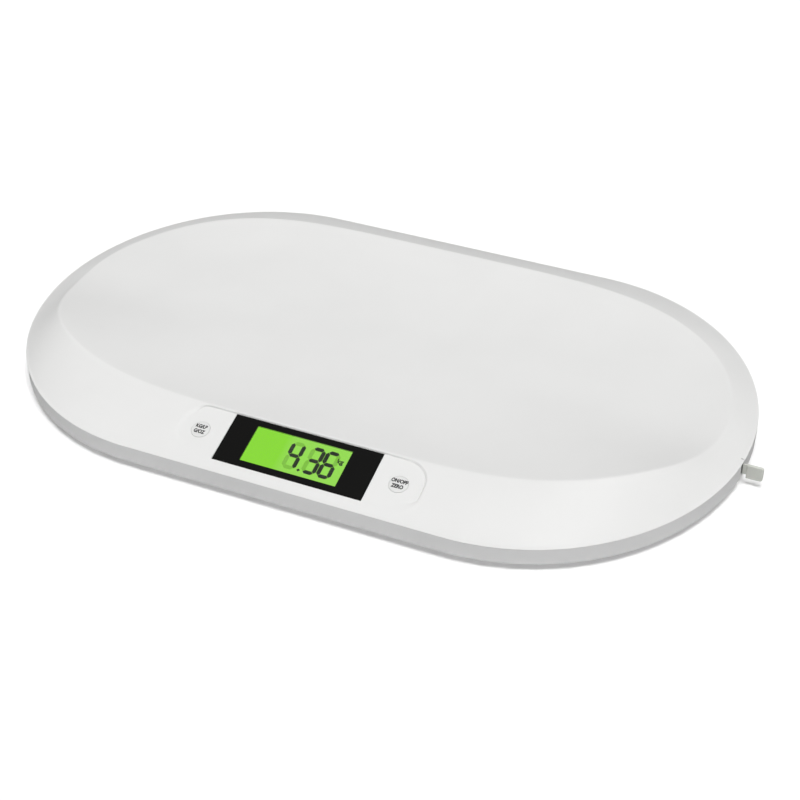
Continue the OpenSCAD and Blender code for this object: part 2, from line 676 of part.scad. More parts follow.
module foot_cup_bl() color([0.75, 0.75, 0.75]) placed() foot_cup(2);
module foot_cup_br() color([0.75, 0.75, 0.75]) placed() foot_cup(3);
module foot_pad_fl() color([0.2, 0.2, 0.2]) placed() foot_pad(0);
module foot_pad_fr() color([0.2, 0.2, 0.2]) placed() foot_pad(1);
module foot_pad_bl() color([0.2, 0.2, 0.2]) placed() foot_pad(2);
module foot_pad_br() color([0.2, 0.2, 0.2]) placed() foot_pad(3);

// ---- batteries ----
module battery_door() color([0.72, 0.73, 0.73]) placed() {
    difference() {
        box_at(0, (door_front + hinge_y) / 2, foot_gap, door_l, hinge_y - door_front, door_t);
        // grip for a fingernail at the front edge
        box_at(0, door_front, foot_gap - 1, 14, 5, 1 + door_t / 2);
        // grooves that keep a thumb from slipping
        for (i = [0 : 3])
            box_at(0, door_front + 5.5 + 1.8 * i, foot_gap - 1, 20, 0.8, 1.4);
    }
    translate([0, hinge_y, hinge_z]) rotate([0, 90, 0]) {
        translate([0, 0, -door_l / 2]) cylinder(r = barrel_r, h = door_l);
        translate([0, 0, -pin_reach]) cylinder(r = door_pin_r, h = 2 * pin_reach);
    }
}
module battery(i) {
    way = i % 2 == 0 ? 1 : -1;
    translate([-way * bay_l / 2, bay_y + (i - (battery_count - 1) / 2) * battery_step, cell_axis])
        rotate([0, way * 90, 0]) translate([0, 0, spring_l + contact_t]) {
            cylinder(d = battery_d, h = battery_len - nub_h);
            cylinder(d = 3.8, h = battery_len);
        }
}
module battery_1() color([0.2, 0.3, 0.45]) placed() battery(0);
module battery_2() color([0.2, 0.3, 0.45]) placed() battery(1);
module battery_3() color([0.2, 0.3, 0.45]) placed() if (battery_count > 2) battery(2);
// a coil from the plate at height 0 up to the battery at height spring_l, narrowing upwards
function spring_path(r0, r1, h, curls, per_curl) =
    [for (i = [0 : curls * per_curl]) let (t = i / (curls * per_curl), a = 360 * i / per_curl,
        r = r0 + (r1 - r0) * t) [r * cos(a), r * sin(a), h * t]];
spring_curve = spring_path(3.6, 2.4, spring_l - spring_wire, 4, 8);
echo(least_gap_between_spring_curls = min([for (i = [0 : len(spring_curve) - 7],
    j = [i + 6 : len(spring_curve) - 1]) norm(spring_curve[i] - spring_curve[j])]) - spring_wire);
module contact_springs() color([0.8, 0.8, 0.78]) placed() for (i = [0 : battery_count - 1]) {
    way = i % 2 == 0 ? 1 : -1;
    translate([-way * bay_l / 2, bay_y + (i - (battery_count - 1) / 2) * battery_step, cell_axis])
        rotate([0, way * 90, 0]) translate([0, 0, contact_t + spring_wire / 2])
            swept_tube(spring_curve, spring_wire, 6);
}
module contact_plates() color([0.8, 0.8, 0.78]) placed()
    for (i = [0 : battery_count - 1], s = [-1, 1])
        box_at(s * (bay_l - contact_t) / 2, bay_y + (i - (battery_count - 1) / 2) * battery_step,
               cell_axis - plate_h / 2, contact_t, battery_step - 1.5, plate_h);

// ---- measuring tape ----
module at_tape(z) translate([tape_x, drum_y, z]) children();
module tape_case() color([0.3, 0.3, 0.32]) placed() difference() {
    union() {
        at_tape(floor_z) cylinder(r = case_r, h = lid_z - floor_z);
        for (p = ear_spots) translate([p[0], p[1], floor_z]) cylinder(d = ear_d, h = ear_t);
        for (p = ear_spots) box_at(tape_x, (p[1] + drum_y) / 2, floor_z, ear_d,
                                   abs(p[1] - drum_y), ear_t);
        at_tape(floor_z) cylinder(r = lid_pin_r, h = lid_z + lid_t - floor_z);
    }
    difference() {
        at_tape(floor_z + case_floor) cylinder(r = case_r - case_t, h = lid_z);
        at_tape(floor_z) cylinder(r = spindle_r, h = lid_z);
    }
    for (p = ear_spots) translate([p[0], p[1], floor_z - 1]) cylinder(d = peg_d + 0.2, h = ear_t + 2);
    // mouth where the tape leaves
    box_at(tape_x + case_r, -tape_y, tape_z - tape_w / 2 - 0.4, 2 * case_r, 1.4, lid_z);
}
module tape_case_lid() color([0.3, 0.3, 0.32]) placed() difference() {
    at_tape(lid_z) cylinder(r = case_r, h = lid_t);
    at_tape(lid_z - 1) cylinder(r = lid_pin_r + 0.03, h = lid_t + 2);
}
module tape_drum() color([0.85, 0.85, 0.83]) placed() difference() {
    union() {
        at_tape(tape_z - tape_w / 2 - flange_space - drum_flange)
            cylinder(r = drum_r, h = drum_flange);
        at_tape(tape_z - tape_w / 2 - flange_space - drum_flange)
            cylinder(r = hub_r, h = tape_w + 2 * flange_space + 2 * drum_flange);
        at_tape(tape_z + tape_w / 2 + flange_space) cylinder(r = drum_r, h = drum_flange);
    }
    at_tape(0) cylinder(r = spindle_r + spindle_gap, h = 2 * lid_z);
    at_tape(tape_z - tape_w / 2) cylinder(r = hub_r - hub_wall, h = 2 * lid_z);
}
module wound_tape() color([0.92, 0.9, 0.55]) placed()
    at_tape(tape_z - tape_w / 2) tube(coil_r, hub_r + tape_start, tape_w);
// flat spiral ribbon from the spindle out to the hub
function spiral_side(shift) = [for (i = [0 : spring_turns * spiral_steps])
    let (t = i / (spring_turns * spiral_steps), a = 360 * i / spiral_steps,
         r = spindle_r + 0.1 + (hub_r - hub_wall - spindle_r - 0.2 - ribbon_t) * t + shift)
    [r * cos(a), r * sin(a)]];
module return_spring() color([0.6, 0.6, 0.62]) placed() at_tape(tape_z - tape_w / 2 + 0.5)
    linear_extrude(tape_w - 2) {
        a = spiral_side(0);
        b = spiral_side(ribbon_t);
        polygon(concat(a, [for (i = [len(b) - 1 : -1 : 0]) b[i]]));
    }
module tape_blade() color([0.92, 0.9, 0.55]) placed()
    translate([tape_x + blade_start, -tape_y - tape_t / 2, tape_z - tape_w / 2])
        cube([tab_root - tape_x - blade_start + 1, tape_t, tape_w]);
module pull_tab() color([0.7, 0.72, 0.68]) placed() difference() {
    union() {
        translate([wall_x + neck_len, -tape_y + tab_t / 2, rim_z - tab_drop - tab_h])
            rotate([90, 0, 0]) linear_extrude(tab_t) {
                square([grip_len - tab_r, tab_h]);
                translate([0, tab_r]) square([grip_len, tab_h - 2 * tab_r]);
                for (z = [tab_r, tab_h - tab_r]) translate([grip_len - tab_r, z]) circle(tab_r);
            }
        translate([tab_root, -tape_y - neck_t / 2, tape_z - tape_w / 2 - 0.5])
            cube([wall_t + neck_len + 1, neck_t, tape_w + 1]);
    }
    box_at(tab_root, -tape_y, tape_z - tape_w / 2 - 0.05, 2, tape_t + 0.1, tape_w + 0.1);
}

// ---- screws and leads ----
module housing_screws() color([0.7, 0.7, 0.72]) placed() for (p = screw_spots)
    translate([p[0], p[1], foot_gap + screw_seat]) difference() {
        union() {
            translate([0, 0, -screw_head_h]) cylinder(d = screw_head_d, h = screw_head_h);
            translate([0, 0, -eps]) cylinder(d = screw_d, h = screw_len);
        }
        for (a = [0, 90]) rotate(a) box_at(0, 0, -screw_head_h - 1, 3.6, 0.9, 2);
    }
// points between hand-set route points, on a smooth curve through them
function curve(p0, p1, p2, p3, t) = 0.5 * (2 * p1 + (p2 - p0) * t
    + (2 * p0 - 5 * p1 + 4 * p2 - p3) * t * t + (3 * p1 - p0 - 3 * p2 + p3) * t * t * t);
function route(p, steps) = let (n = len(p) - 1) concat(
    [for (i = [0 : n - 1], k = [0 : steps - 1])
        curve(p[max(i - 1, 0)], p[i], p[i + 1], p[min(i + 2, n)], k / steps)], [p[n]]);
// a lead through hand-set points, kept on top of the base floor
module lead(path) swept_tube([for (q = route(path, 4)) [q[0], q[1], max(q[2], lead_z)]], lead_d, 6);
module cell_lead(sx, sy) {
    start = [[sx * foot_x, sy * (foot_y - cell_lead_y), lead_cell_z],
             [sx * foot_x, sy * (foot_y - pocket_d / 2 - 2), lead_cell_z],
             [sx * (foot_x - 7), sy * (foot_y - 34), lead_z + 1.7]];
    front = [[sx * (foot_x - 25), -foot_y + 36, lead_z], [sx * side_screw_x, -foot_y + 34, lead_z],
             [sx * 70, -foot_y + 24, lead_z], [sx * 52, -foot_y + 6, lead_z],
             [sx * 50, panel_y + 32, lead_z + 1], board_point(sx * 50, 3, 5),
             board_point(sx * 50, 3, lead_gap)];
    back = [[sx * (foot_x - 25), foot_y - 41, lead_z], [sx * side_screw_x, 20, lead_z],
            [sx * 70, -30, lead_z], [sx * 46, -foot_y + 26, lead_z],
            [sx * 40, panel_y + 42, lead_z], [sx * 38, panel_y + 28, lead_z + 2],
            board_point(sx * 38, 8, 5), board_point(sx * 38, 8, lead_gap)];
    lead(concat(start, sy < 0 ? front : back));
}
// a place under the main board: x and y on the board, d below its underside
function board_point(x, y, d) =
    let (depth = board_depth + board_t + d)
    [x, panel_y + y * cos(panel_slope) + depth * sin(panel_slope),
     panel_z + y * sin(panel_slope) - depth * cos(panel_slope)];
module cell_lead_fl() color([0.15, 0.15, 0.15]) placed() cell_lead(-1, -1);
module cell_lead_fr() color([0.15, 0.15, 0.15]) placed() cell_lead(1, -1);
module cell_lead_bl() color([0.15, 0.15, 0.15]) placed() cell_lead(-1, 1);
module cell_lead_br() color([0.15, 0.15, 0.15]) placed() cell_lead(1, 1);
module battery_lead() color([0.7, 0.12, 0.1]) placed() lead(
    [[bay_l / 2 + lead_gap, bay_y, lead_bay_z], [bay_l / 2 + 5, bay_y, lead_bay_z],
     [bay_l / 2 + 14, bay_y - 8, 12], [bay_l / 2 + 16, bay_y - 22, lead_z], [34, 0, lead_z],
     [18, -50, lead_z], [12, -foot_y, lead_z], [12, panel_y + 28, lead_z + 1.7],
     board_point(12, 8, 5), board_point(12, 8, lead_gap)]);

top_cover();
base_shell();
display_window();
lcd_glass();
lcd_frame();
light_guide();
contact_strip();
main_board();
control_chip();
board_screws();
tact_switches();
left_plunger();
right_plunger();
left_button();
right_button();
cell_holder_fl();
cell_holder_fr();
cell_holder_bl();
cell_holder_br();
load_cell_fl();
load_cell_fr();
load_cell_bl();
load_cell_br();
foot_cup_fl();
foot_cup_fr();
foot_cup_bl();
foot_cup_br();
foot_pad_fl();
foot_pad_fr();
foot_pad_bl();
foot_pad_br();
battery_door();
battery_1();
battery_2();
battery_3();
contact_springs();
contact_plates();
tape_case();
tape_case_lid();
tape_drum();
wound_tape();
return_spring();
tape_blade();
pull_tab();
housing_screws();
cell_lead_fl();
cell_lead_fr();
cell_lead_bl();
cell_lead_br();
battery_lead();
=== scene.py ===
"""The looks of a digital baby weighing scale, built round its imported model.

Metres in the scene; the sizes below are in millimetres, in the frame of the body: X along it,
Y to the back, Z up from the table, with the origin under the middle of the body.
"""

import math

import bpy
import numpy as np
from mathutils import Matrix, Vector
from mathutils.bvhtree import BVHTree


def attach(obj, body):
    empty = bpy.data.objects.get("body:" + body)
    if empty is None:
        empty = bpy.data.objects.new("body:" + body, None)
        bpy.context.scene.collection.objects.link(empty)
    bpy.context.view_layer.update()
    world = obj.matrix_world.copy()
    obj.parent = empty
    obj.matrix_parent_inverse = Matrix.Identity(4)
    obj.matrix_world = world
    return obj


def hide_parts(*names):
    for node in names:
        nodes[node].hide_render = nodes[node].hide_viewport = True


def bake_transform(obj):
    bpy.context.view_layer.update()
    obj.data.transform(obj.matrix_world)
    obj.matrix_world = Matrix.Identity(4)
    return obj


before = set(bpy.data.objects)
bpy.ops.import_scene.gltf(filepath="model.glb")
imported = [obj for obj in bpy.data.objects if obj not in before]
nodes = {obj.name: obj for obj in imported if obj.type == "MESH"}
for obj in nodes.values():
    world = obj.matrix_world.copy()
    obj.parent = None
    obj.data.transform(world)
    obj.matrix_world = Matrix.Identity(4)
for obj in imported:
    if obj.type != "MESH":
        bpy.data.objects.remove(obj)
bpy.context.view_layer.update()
MM = 0.001
SHIFT = -6.7737            # the body lies this far left: the pull tab sticks out at the right
BODY = Matrix.Translation((SHIFT * MM, 0, 0))

# ---- sizes of the body, as in the part's source ----
BODY_LEN, BODY_WID, END_LEN = 550, 342, 158
RIM_Z = 17.5
COVER_T = 2.5
BAND_ENDS, BAND_FRONT, BAND_BACK = 20, 49, 38.5
CREST_SHIFT = 12
CREST_END_POWER, CREST_FRONT_POWER, CREST_BACK_POWER = 4.6, 2.25, 1.8
CREST_END_H, CREST_FRONT_H, CREST_BACK_H = 9, 15.5, 17.5
FRONT_SHOULDER_H, BACK_SHOULDER_DROP = 11, 3
TRAY_H, TRAY_POWER, BAND_ROUND = 8, 3, 0.15
CREST_HALF_LEN = BODY_LEN / 2 - BAND_ENDS
CREST_FRONT = BODY_WID / 2 - BAND_FRONT
CREST_BACK = BODY_WID / 2 - BAND_BACK

# ---- sizes of the display panel ----
PANEL_SLOPE, PANEL_LEN, PANEL_R, PANEL_DROP, PANEL_SHIFT = 17, 184, 18, 1, 1.5
WINDOW_LEN, WINDOW_WID, WINDOW_T = 111, 40, 1.5
VIEW_LEN, VIEW_WID, VIEW_SHIFT = 71, 29.5, 1
FACET_TOP, FACET_BOTTOM = WINDOW_WID / 2 + 0.8, WINDOW_WID / 2 + 4.5
BUTTON_X, BUTTON_D, BUTTON_PROUD = 74, 13.4, 0.4
STEM_Z = -4.4              # foot of a button's stem, on its switch plunger
slope = math.radians(PANEL_SLOPE)
PANEL_Y = -CREST_FRONT - 1.5 - WINDOW_WID / 2 * math.cos(slope)
PANEL_Z = RIM_Z + CREST_FRONT_H - PANEL_DROP - WINDOW_WID / 2 * math.sin(slope)
PANEL = (BODY @ Matrix.Translation((PANEL_SHIFT * MM, PANEL_Y * MM, PANEL_Z * MM))
         @ Matrix.Rotation(slope, 4, "X"))

# ---- sizes of the tape ----
TAPE_Y, TAPE_W, TAPE_T, TAPE_Z, TAPE_PULL = -16.5, 7, 0.3, 12, 1000
TAPE_START, TAPE_END = 240, 270         # the run that draws out, from the case to the slot
WALL_X, TAB_END = 274.263, 288.463      # outside of the wall at the slot, and end of the pull tab
NECK_LEN, NECK_T, TAB_T, TAB_R, TAB_LOW, TAB_HIGH = 2.7, 1.2, 2.4, 2, 5, 16
SLOT_BACK, NOTCH_W = -15.0, 1.2

# ---- sizes of the feet ----
FOOT_X, FOOT_Y, PAD_R, PAD_T = 175, 96, 20, 2
PAD_GROOVES = (17, 14, 11, 8, 5)        # radii of the ring grooves under a pad


# ---------------------------------------------------------------- materials
def linear(hex_colour, alpha=1.0):
    """An sRGB colour such as "E6E6E4" as linear numbers."""
    parts = [int(hex_colour[i:i + 2], 16) / 255 for i in (0, 2, 4)]
    return tuple(c / 12.92 if c <= 0.04045 else ((c + 0.055) / 1.055) ** 2.4
                 for c in parts) + (alpha,)


def add(mat, kind, settings=None, links=None):
    """Adds one shader node. Settings are inputs or properties; links name an input's source."""
    node = mat.node_tree.nodes.new("ShaderNode" + kind)
    for key, value in (settings or {}).items():
        if isinstance(key, int) or key in node.inputs:
            node.inputs[key].default_value = value
        else:
            setattr(node, key, value)
    for key, socket in (links or {}).items():
        mat.node_tree.links.new(socket, node.inputs[key])
    return node


def new_material(name):
    """An empty node material and its output node."""
    mat = bpy.data.materials.new(name)
    mat.use_nodes = True
    mat.node_tree.nodes.clear()
    return mat, mat.node_tree.nodes.new("ShaderNodeOutputMaterial")


def ramp_between(mat, value, low, high, start=0.0, end=1.0):
    """A colour that runs from low to high as value goes from start to end."""
    ramp = add(mat, "ValToRGB", links={"Fac": value})
    ramp.color_ramp.elements[0].position, ramp.color_ramp.elements[0].color = start, low
    ramp.color_ramp.elements[1].position, ramp.color_ramp.elements[1].color = end, high
    return ramp.outputs["Color"]


def moulded(name, colour, shade, roughness, grain_mm, grain_height_mm, ior=1.53, coat=0.0):
    """A moulded or machined surface: its colour drifts a little towards shade, and a grain of the
    given size stands as high as grain_height_mm."""
    mat, out = new_material(name)
    place = add(mat, "TexCoord").outputs["Object"]
    drift = add(mat, "TexNoise", {"Scale": 1 / (60 * MM), "Detail": 2.0}, {"Vector": place})
    grain = add(mat, "TexNoise", {"Scale": 1 / (grain_mm * MM), "Detail": 3.0}, {"Vector": place})
    bump = add(mat, "Bump", {"Strength": 1.0, "Distance": grain_height_mm * MM},
               {"Height": grain.outputs["Fac"]})
    surface = add(mat, "BsdfPrincipled",
                  {"Roughness": roughness, "IOR": ior, "Coat Weight": coat,
                   "Coat Roughness": 0.04},
                  {"Base Color": ramp_between(mat, drift.outputs["Fac"], linear(shade),
                                              linear(colour), 0.35, 0.65),
                   "Normal": bump.outputs["Normal"]})
    mat.node_tree.links.new(surface.outputs["BSDF"], out.inputs["Surface"])
    return mat


def plated(name, colour, shade, roughness, grain_mm, grain_height_mm):
    """A metal surface: the grain's height and the drift of its colour as in moulded()."""
    mat, out = new_material(name)
    place = add(mat, "TexCoord").outputs["Object"]
    grain = add(mat, "TexNoise", {"Scale": 1 / (grain_mm * MM), "Detail": 3.0}, {"Vector": place})
    bump = add(mat, "Bump", {"Strength": 1.0, "Distance": grain_height_mm * MM},
               {"Height": grain.outputs["Fac"]})
    surface = add(mat, "BsdfPrincipled", {"Roughness": roughness, "Metallic": 1.0},
                  {"Base Color": ramp_between(mat, grain.outputs["Fac"], linear(shade),
                                              linear(colour), 0.3, 0.7),
                   "Normal": bump.outputs["Normal"]})
    mat.node_tree.links.new(surface.outputs["BSDF"], out.inputs["Surface"])
    return mat


# White ABS from a polished mould: a clean gloss, whose flow marks make reflections waver slightly.
gloss_abs = moulded("gloss_white_abs", "EBEBEA", "E9E9E8", 0.34, 9.0, 0.004)
# Grey ABS from a spark-eroded mould: satin, its grain drawn at 0.8 mm so that it shows.
satin_abs = moulded("satin_grey_abs", "DCDCDC", "D9D9D9", 0.45, 0.8, 0.01)
# White ABS of the buttons: the cover's gloss, a touch greyer.
key_abs = moulded("gloss_key_abs", "E6E6E5", "E3E3E2", 0.25, 6.0, 0.004)
# Grey ABS of the battery door: the same grain as the base, a touch darker.
door_abs = moulded("satin_door_abs", "D3D4D4", "D0D1D1", 0.45, 0.8, 0.01)
# Acrylic sheet printed black on its back: a deep black under a polished face.
printed_acrylic = moulded("black_printed_acrylic", "0A0A09", "080807", 0.05, 20.0, 0.001, ior=1.49)
# Acetal of the pull tab: a waxy greenish grey.
tab_acetal = moulded("waxy_grey_acetal", "D9DBD5", "D3D5CE", 0.38, 1.2, 0.012, ior=1.48)
# Painted shade: a dull dark grey film at the tape's end, which stands in for the shadow inside the
# slot.
slot_shade_film = moulded("painted_slot_shade_film", "7C7D7A", "767774", 0.5, 0.6, 0.005)
# Pad-printed label ink: flat dark grey.
label_ink = moulded("pad_printed_ink", "2A2B2C", "252627", 0.6, 0.3, 0.002)
# Silicone of the foot pads: dark and dull, with a fine moulded grain.
pad_silicone = moulded("dull_black_silicone", "2B2C2E", "242527", 0.75, 0.5, 0.02, ior=1.42)
# Polypropylene of the cell holders and cups: milky grey and soft in gloss.
cup_polypropylene = moulded("milky_polypropylene", "C2C3C3", "BBBCBC", 0.5, 1.0, 0.01, ior=1.49)
# Black ABS of the tape case, moulded and dull.
case_abs = moulded("dull_black_abs", "3C3C3E", "363638", 0.55, 0.8, 0.01)
# Acetal of the tape drum and plungers: off-white and waxy.
drum_acetal = moulded("waxy_white_acetal", "DAD9D3", "D2D1CA", 0.4, 1.0, 0.008, ior=1.48)
# White ABS of the display frame, left matt.
frame_abs = moulded("matt_white_abs", "E2E2E0", "DCDCDA", 0.55, 0.6, 0.008)
# Conductive silicone strip under the display, with its fine layers.
strip_silicone = moulded("layered_dark_silicone", "2E2E30", "222224", 0.7, 0.4, 0.01, ior=1.42)
# Epoxy of the chip: matt black.
chip_epoxy = moulded("matt_black_epoxy", "1E1E1F", "19191A", 0.6, 0.3, 0.006)
# PVC of the cell leads: black and slightly glossy.
black_pvc = moulded("black_pvc", "1C1C1D", "161617", 0.4, 0.8, 0.01)
# PVC of the battery lead: red.
red_pvc = moulded("red_pvc", "A51E18", "991A15", 0.4, 0.8, 0.01)
# Acrylic of the light guide: pale green from the lamp's light.
guide_acrylic = moulded("pale_green_acrylic", "CFE8C0", "C6E0B6", 0.3, 3.0, 0.01, ior=1.49)
# Zinc-plated screws: pale and a little cloudy.
zinc_steel = plated("zinc_plated_steel", "C2C4C8", "A9ABB0", 0.32, 1.5, 0.004)
# Nickel-plated strip of the contacts and load cells: brighter than zinc.
nickel_steel = plated("nickel_plated_steel", "CBC8C0", "B8B5AC", 0.25, 2.0, 0.003)
# Blued strip of the return spring.
blued_steel = plated("blued_spring_steel", "5A5F6A", "464B57", 0.3, 1.0, 0.003)


def solder_mask():
    """Green solder mask over copper: the tracks show as lighter lines 0.6 mm wide at 3 mm pitch."""
    mat, out = new_material("green_solder_mask")
    place = add(mat, "TexCoord").outputs["Object"]
    tracks = add(mat, "TexBrick", {"Scale": 1 / (12 * MM), "Mortar Size": 0.05,
                                   "Color1": linear("0F5A33"), "Color2": linear("0E5530"),
                                   "Mortar": linear("2C8A55")}, {"Vector": place})
    surface = add(mat, "BsdfPrincipled", {"Roughness": 0.3, "IOR": 1.5},
                  {"Base Color": tracks.outputs["Color"]})
    mat.node_tree.links.new(surface.outputs["BSDF"], out.inputs["Surface"])
    return mat


def battery_jacket():
    """A printed steel sleeve: dark blue with a copper-coloured end, its edge set along X."""
    mat, out = new_material("printed_battery_sleeve")
    along = add(mat, "SeparateXYZ", links={"Vector": add(mat, "TexCoord").outputs["Object"]})
    shifted = add(mat, "Math", {"operation": "MULTIPLY_ADD", 1: 1 / (60 * MM), 2: 0.6},
                  {0: along.outputs["X"]})
    surface = add(mat, "BsdfPrincipled", {"Roughness": 0.3, "Metallic": 1.0},
                  {"Base Color": ramp_between(mat, shifted.outputs["Value"], linear("24406E"),
                                              linear("B4743C"), 0.70, 0.71)})
    mat.node_tree.links.new(surface.outputs["BSDF"], out.inputs["Surface"])
    return mat


def lit_display():
    """A backlit display: green light behind glass, with its right part painted paler as a painted
    reflection on the glass.
    """
    mat, out = new_material("backlit_display_glass")
    place = add(mat, "SeparateXYZ", links={"Vector": add(mat, "TexCoord").outputs["Object"]})
    # painted reflection: the green is painted paler from a little left of the middle to the right
    # end
    along = add(mat, "Math", {"operation": "MULTIPLY_ADD", 1: 1 / (74 * MM), 2: 0.585},
                {0: place.outputs["X"]})
    colour = ramp_between(mat, along.outputs["Value"], linear("8BDF32"), linear("97E052"),
                          0.33, 0.42)
    surface = add(mat, "BsdfPrincipled",
                  {"Base Color": linear("000000"), "Roughness": 0.12, "IOR": 1.52,
                   "Emission Strength": 1.0}, {"Emission Color": colour})
    mat.node_tree.links.new(surface.outputs["BSDF"], out.inputs["Surface"])
    return mat


def display_ink(name, light):
    """Liquid crystal that blocks the green light: what is left of it shows as a weak glow."""
    mat, out = new_material(name)
    surface = add(mat, "BsdfPrincipled",
                  {"Base Color": linear("000000"), "Roughness": 0.4,
                   "Emission Color": linear(light), "Emission Strength": 1.0})
    mat.node_tree.links.new(surface.outputs["BSDF"], out.inputs["Surface"])
    return mat


def clear_acrylic():
    """Polished clear acrylic over the display: what lies under it shows, with a soft reflection."""
    mat, out = new_material("clear_polished_acrylic")
    surface = add(mat, "BsdfPrincipled",
                  {"Base Color": linear("FFFFFF"), "Roughness": 0.0, "IOR": 1.49,
                   "Transmission Weight": 1.0})
    mat.node_tree.links.new(surface.outputs["BSDF"], out.inputs["Surface"])
    return mat


def tape_film():
    """Coated tape with a printed scale, drawn from its UV: u is metres along it, v is across."""
    mat, out = new_material("coated_tape_film")
    uv_map = add(mat, "UVMap", {"uv_map": "length"})
    uv = add(mat, "SeparateXYZ", links={"Vector": uv_map.outputs["UV"]})
    line_mm = 0.22
    ink = None
    for pitch_mm, reach in ((1, 0.16), (5, 0.26), (10, 0.38)):
        turns = add(mat, "Math", {"operation": "MULTIPLY", 1: 1 / (pitch_mm * MM)},
                    {0: uv.outputs["X"]})
        part = add(mat, "Math", {"operation": "FRACT"}, {0: turns.outputs["Value"]})
        line = add(mat, "Math", {"operation": "LESS_THAN", 1: line_mm / pitch_mm},
                   {0: part.outputs["Value"]})
        near = add(mat, "Math", {"operation": "LESS_THAN", 1: reach}, {0: uv.outputs["Y"]})
        mark = add(mat, "Math", {"operation": "MULTIPLY"},
                   {0: line.outputs["Value"], 1: near.outputs["Value"]})
        ink = mark if ink is None else add(mat, "Math", {"operation": "MAXIMUM"},
                                           {0: ink.outputs["Value"], 1: mark.outputs["Value"]})
    surface = add(mat, "BsdfPrincipled", {"Roughness": 0.4, "IOR": 1.5},
                  {"Base Color": ramp_between(mat, ink.outputs["Value"], linear("EDE6B4"),
                                              linear("26262A"), 0.4, 0.6)})
    mat.node_tree.links.new(surface.outputs["BSDF"], out.inputs["Surface"])
    return mat


display_glass = lit_display()
pane_acrylic = clear_acrylic()
segment_ink = display_ink("dark_display_segment", "101E0A")
# the unlit bars' darker green is partly the display's own faint segments and partly painted shade
# for the segments' shadows
ghost_and_shadow_ink = display_ink("faint_segment_and_painted_shadow", "7EC23A")
tape_scale = tape_film()
sleeve = battery_jacket()
mask = solder_mask()

NODE_MATERIALS = {
    "base_shell": satin_abs, "lcd_glass": display_glass, "lcd_frame": frame_abs,
    "light_guide": guide_acrylic, "contact_strip": strip_silicone, "main_board": mask,
    "control_chip": chip_epoxy, "board_screws": zinc_steel, "tact_switches": case_abs,
    "left_plunger": drum_acetal, "right_plunger": drum_acetal,
    "battery_1": sleeve, "battery_2": sleeve, "battery_3": sleeve,
    "contact_springs": nickel_steel, "contact_plates": nickel_steel,
    "tape_case": case_abs, "tape_case_lid": case_abs, "tape_drum": drum_acetal,
    "wound_tape": tape_scale, "return_spring": blued_steel, "housing_screws": zinc_steel,
    "battery_lead": red_pvc,
}
for corner in ("fl", "fr", "bl", "br"):
    NODE_MATERIALS["cell_holder_" + corner] = cup_polypropylene
    NODE_MATERIALS["load_cell_" + corner] = nickel_steel
    NODE_MATERIALS["foot_cup_" + corner] = cup_polypropylene
    NODE_MATERIALS["foot_pad_" + corner] = pad_silicone
    NODE_MATERIALS["cell_lead_" + corner] = black_pvc
for name, material in NODE_MATERIALS.items():
    mesh = nodes[name].data
    mesh.materials.clear()
    mesh.materials.append(material)


# ---------------------------------------------------------------- tools for the pieces
def only(obj):
    """Selects one object and nothing else."""
    bpy.ops.object.select_all(action="DESELECT")
    obj.select_set(True)
    bpy.context.view_layer.objects.active = obj


def coordinates(mesh):
    """The mesh's corners as an array of rows x, y, z."""
    co = np.empty(len(mesh.vertices) * 3)
    mesh.vertices.foreach_get("co", co)
    return co.reshape(-1, 3)


def place_corners(mesh, co):
    """Writes an array of rows x, y, z into the mesh."""
    mesh.vertices.foreach_set("co", np.asarray(co, float).ravel())
    mesh.update()


def smooth(obj, degrees=30):
    """Smooth shading, with the edges sharper than degrees kept."""
    only(obj)
    bpy.ops.object.shade_smooth_by_angle(angle=math.radians(degrees))


def use_modifier(obj, kind, **settings):
    """Adds one modifier and applies it."""
    only(obj)
    modifier = obj.modifiers.new(kind.lower(), kind)
    for key, value in settings.items():
        setattr(modifier, key, value)
    bpy.ops.object.modifier_apply(modifier=modifier.name)


def skinned(name, rings, material, place=BODY, degrees=30):
    """A closed skin through rings of points in mm: a grid whose columns run round each ring.
    Its seam is merged, and rings that come to one point close the ends."""
    rings = np.asarray(rings, float)
    rows, cols = rings.shape[:2]
    bpy.ops.object.select_all(action="DESELECT")
    bpy.ops.mesh.primitive_grid_add(x_subdivisions=cols, y_subdivisions=rows - 1)
    obj = bpy.context.object
    obj.name = obj.data.name = name
    obj.matrix_world = Matrix.Identity(4)
    place_corners(obj.data, np.concatenate([rings, rings[:, :1]], axis=1).reshape(-1, 3) * MM)
    bpy.ops.object.mode_set(mode="EDIT")
    bpy.ops.mesh.select_all(action="SELECT")
    bpy.ops.mesh.remove_doubles(threshold=1e-7)
    bpy.ops.mesh.fill_holes(sides=0)
    bpy.ops.mesh.normals_make_consistent(inside=False)
    bpy.ops.object.mode_set(mode="OBJECT")
    obj.data.transform(place)
    obj.data.materials.append(material)
    smooth(obj, degrees)
    return obj


def turned(name, profile, material, place=BODY, steps=96, degrees=30):
    """A solid of revolution from (radius, height) pairs in mm, first and last on the axis."""
    angles = np.linspace(0, 2 * math.pi, steps, endpoint=False)
    rings = [[(r * math.cos(a), r * math.sin(a), z) for a in angles] for r, z in profile]
    return skinned(name, rings, material, place, degrees)


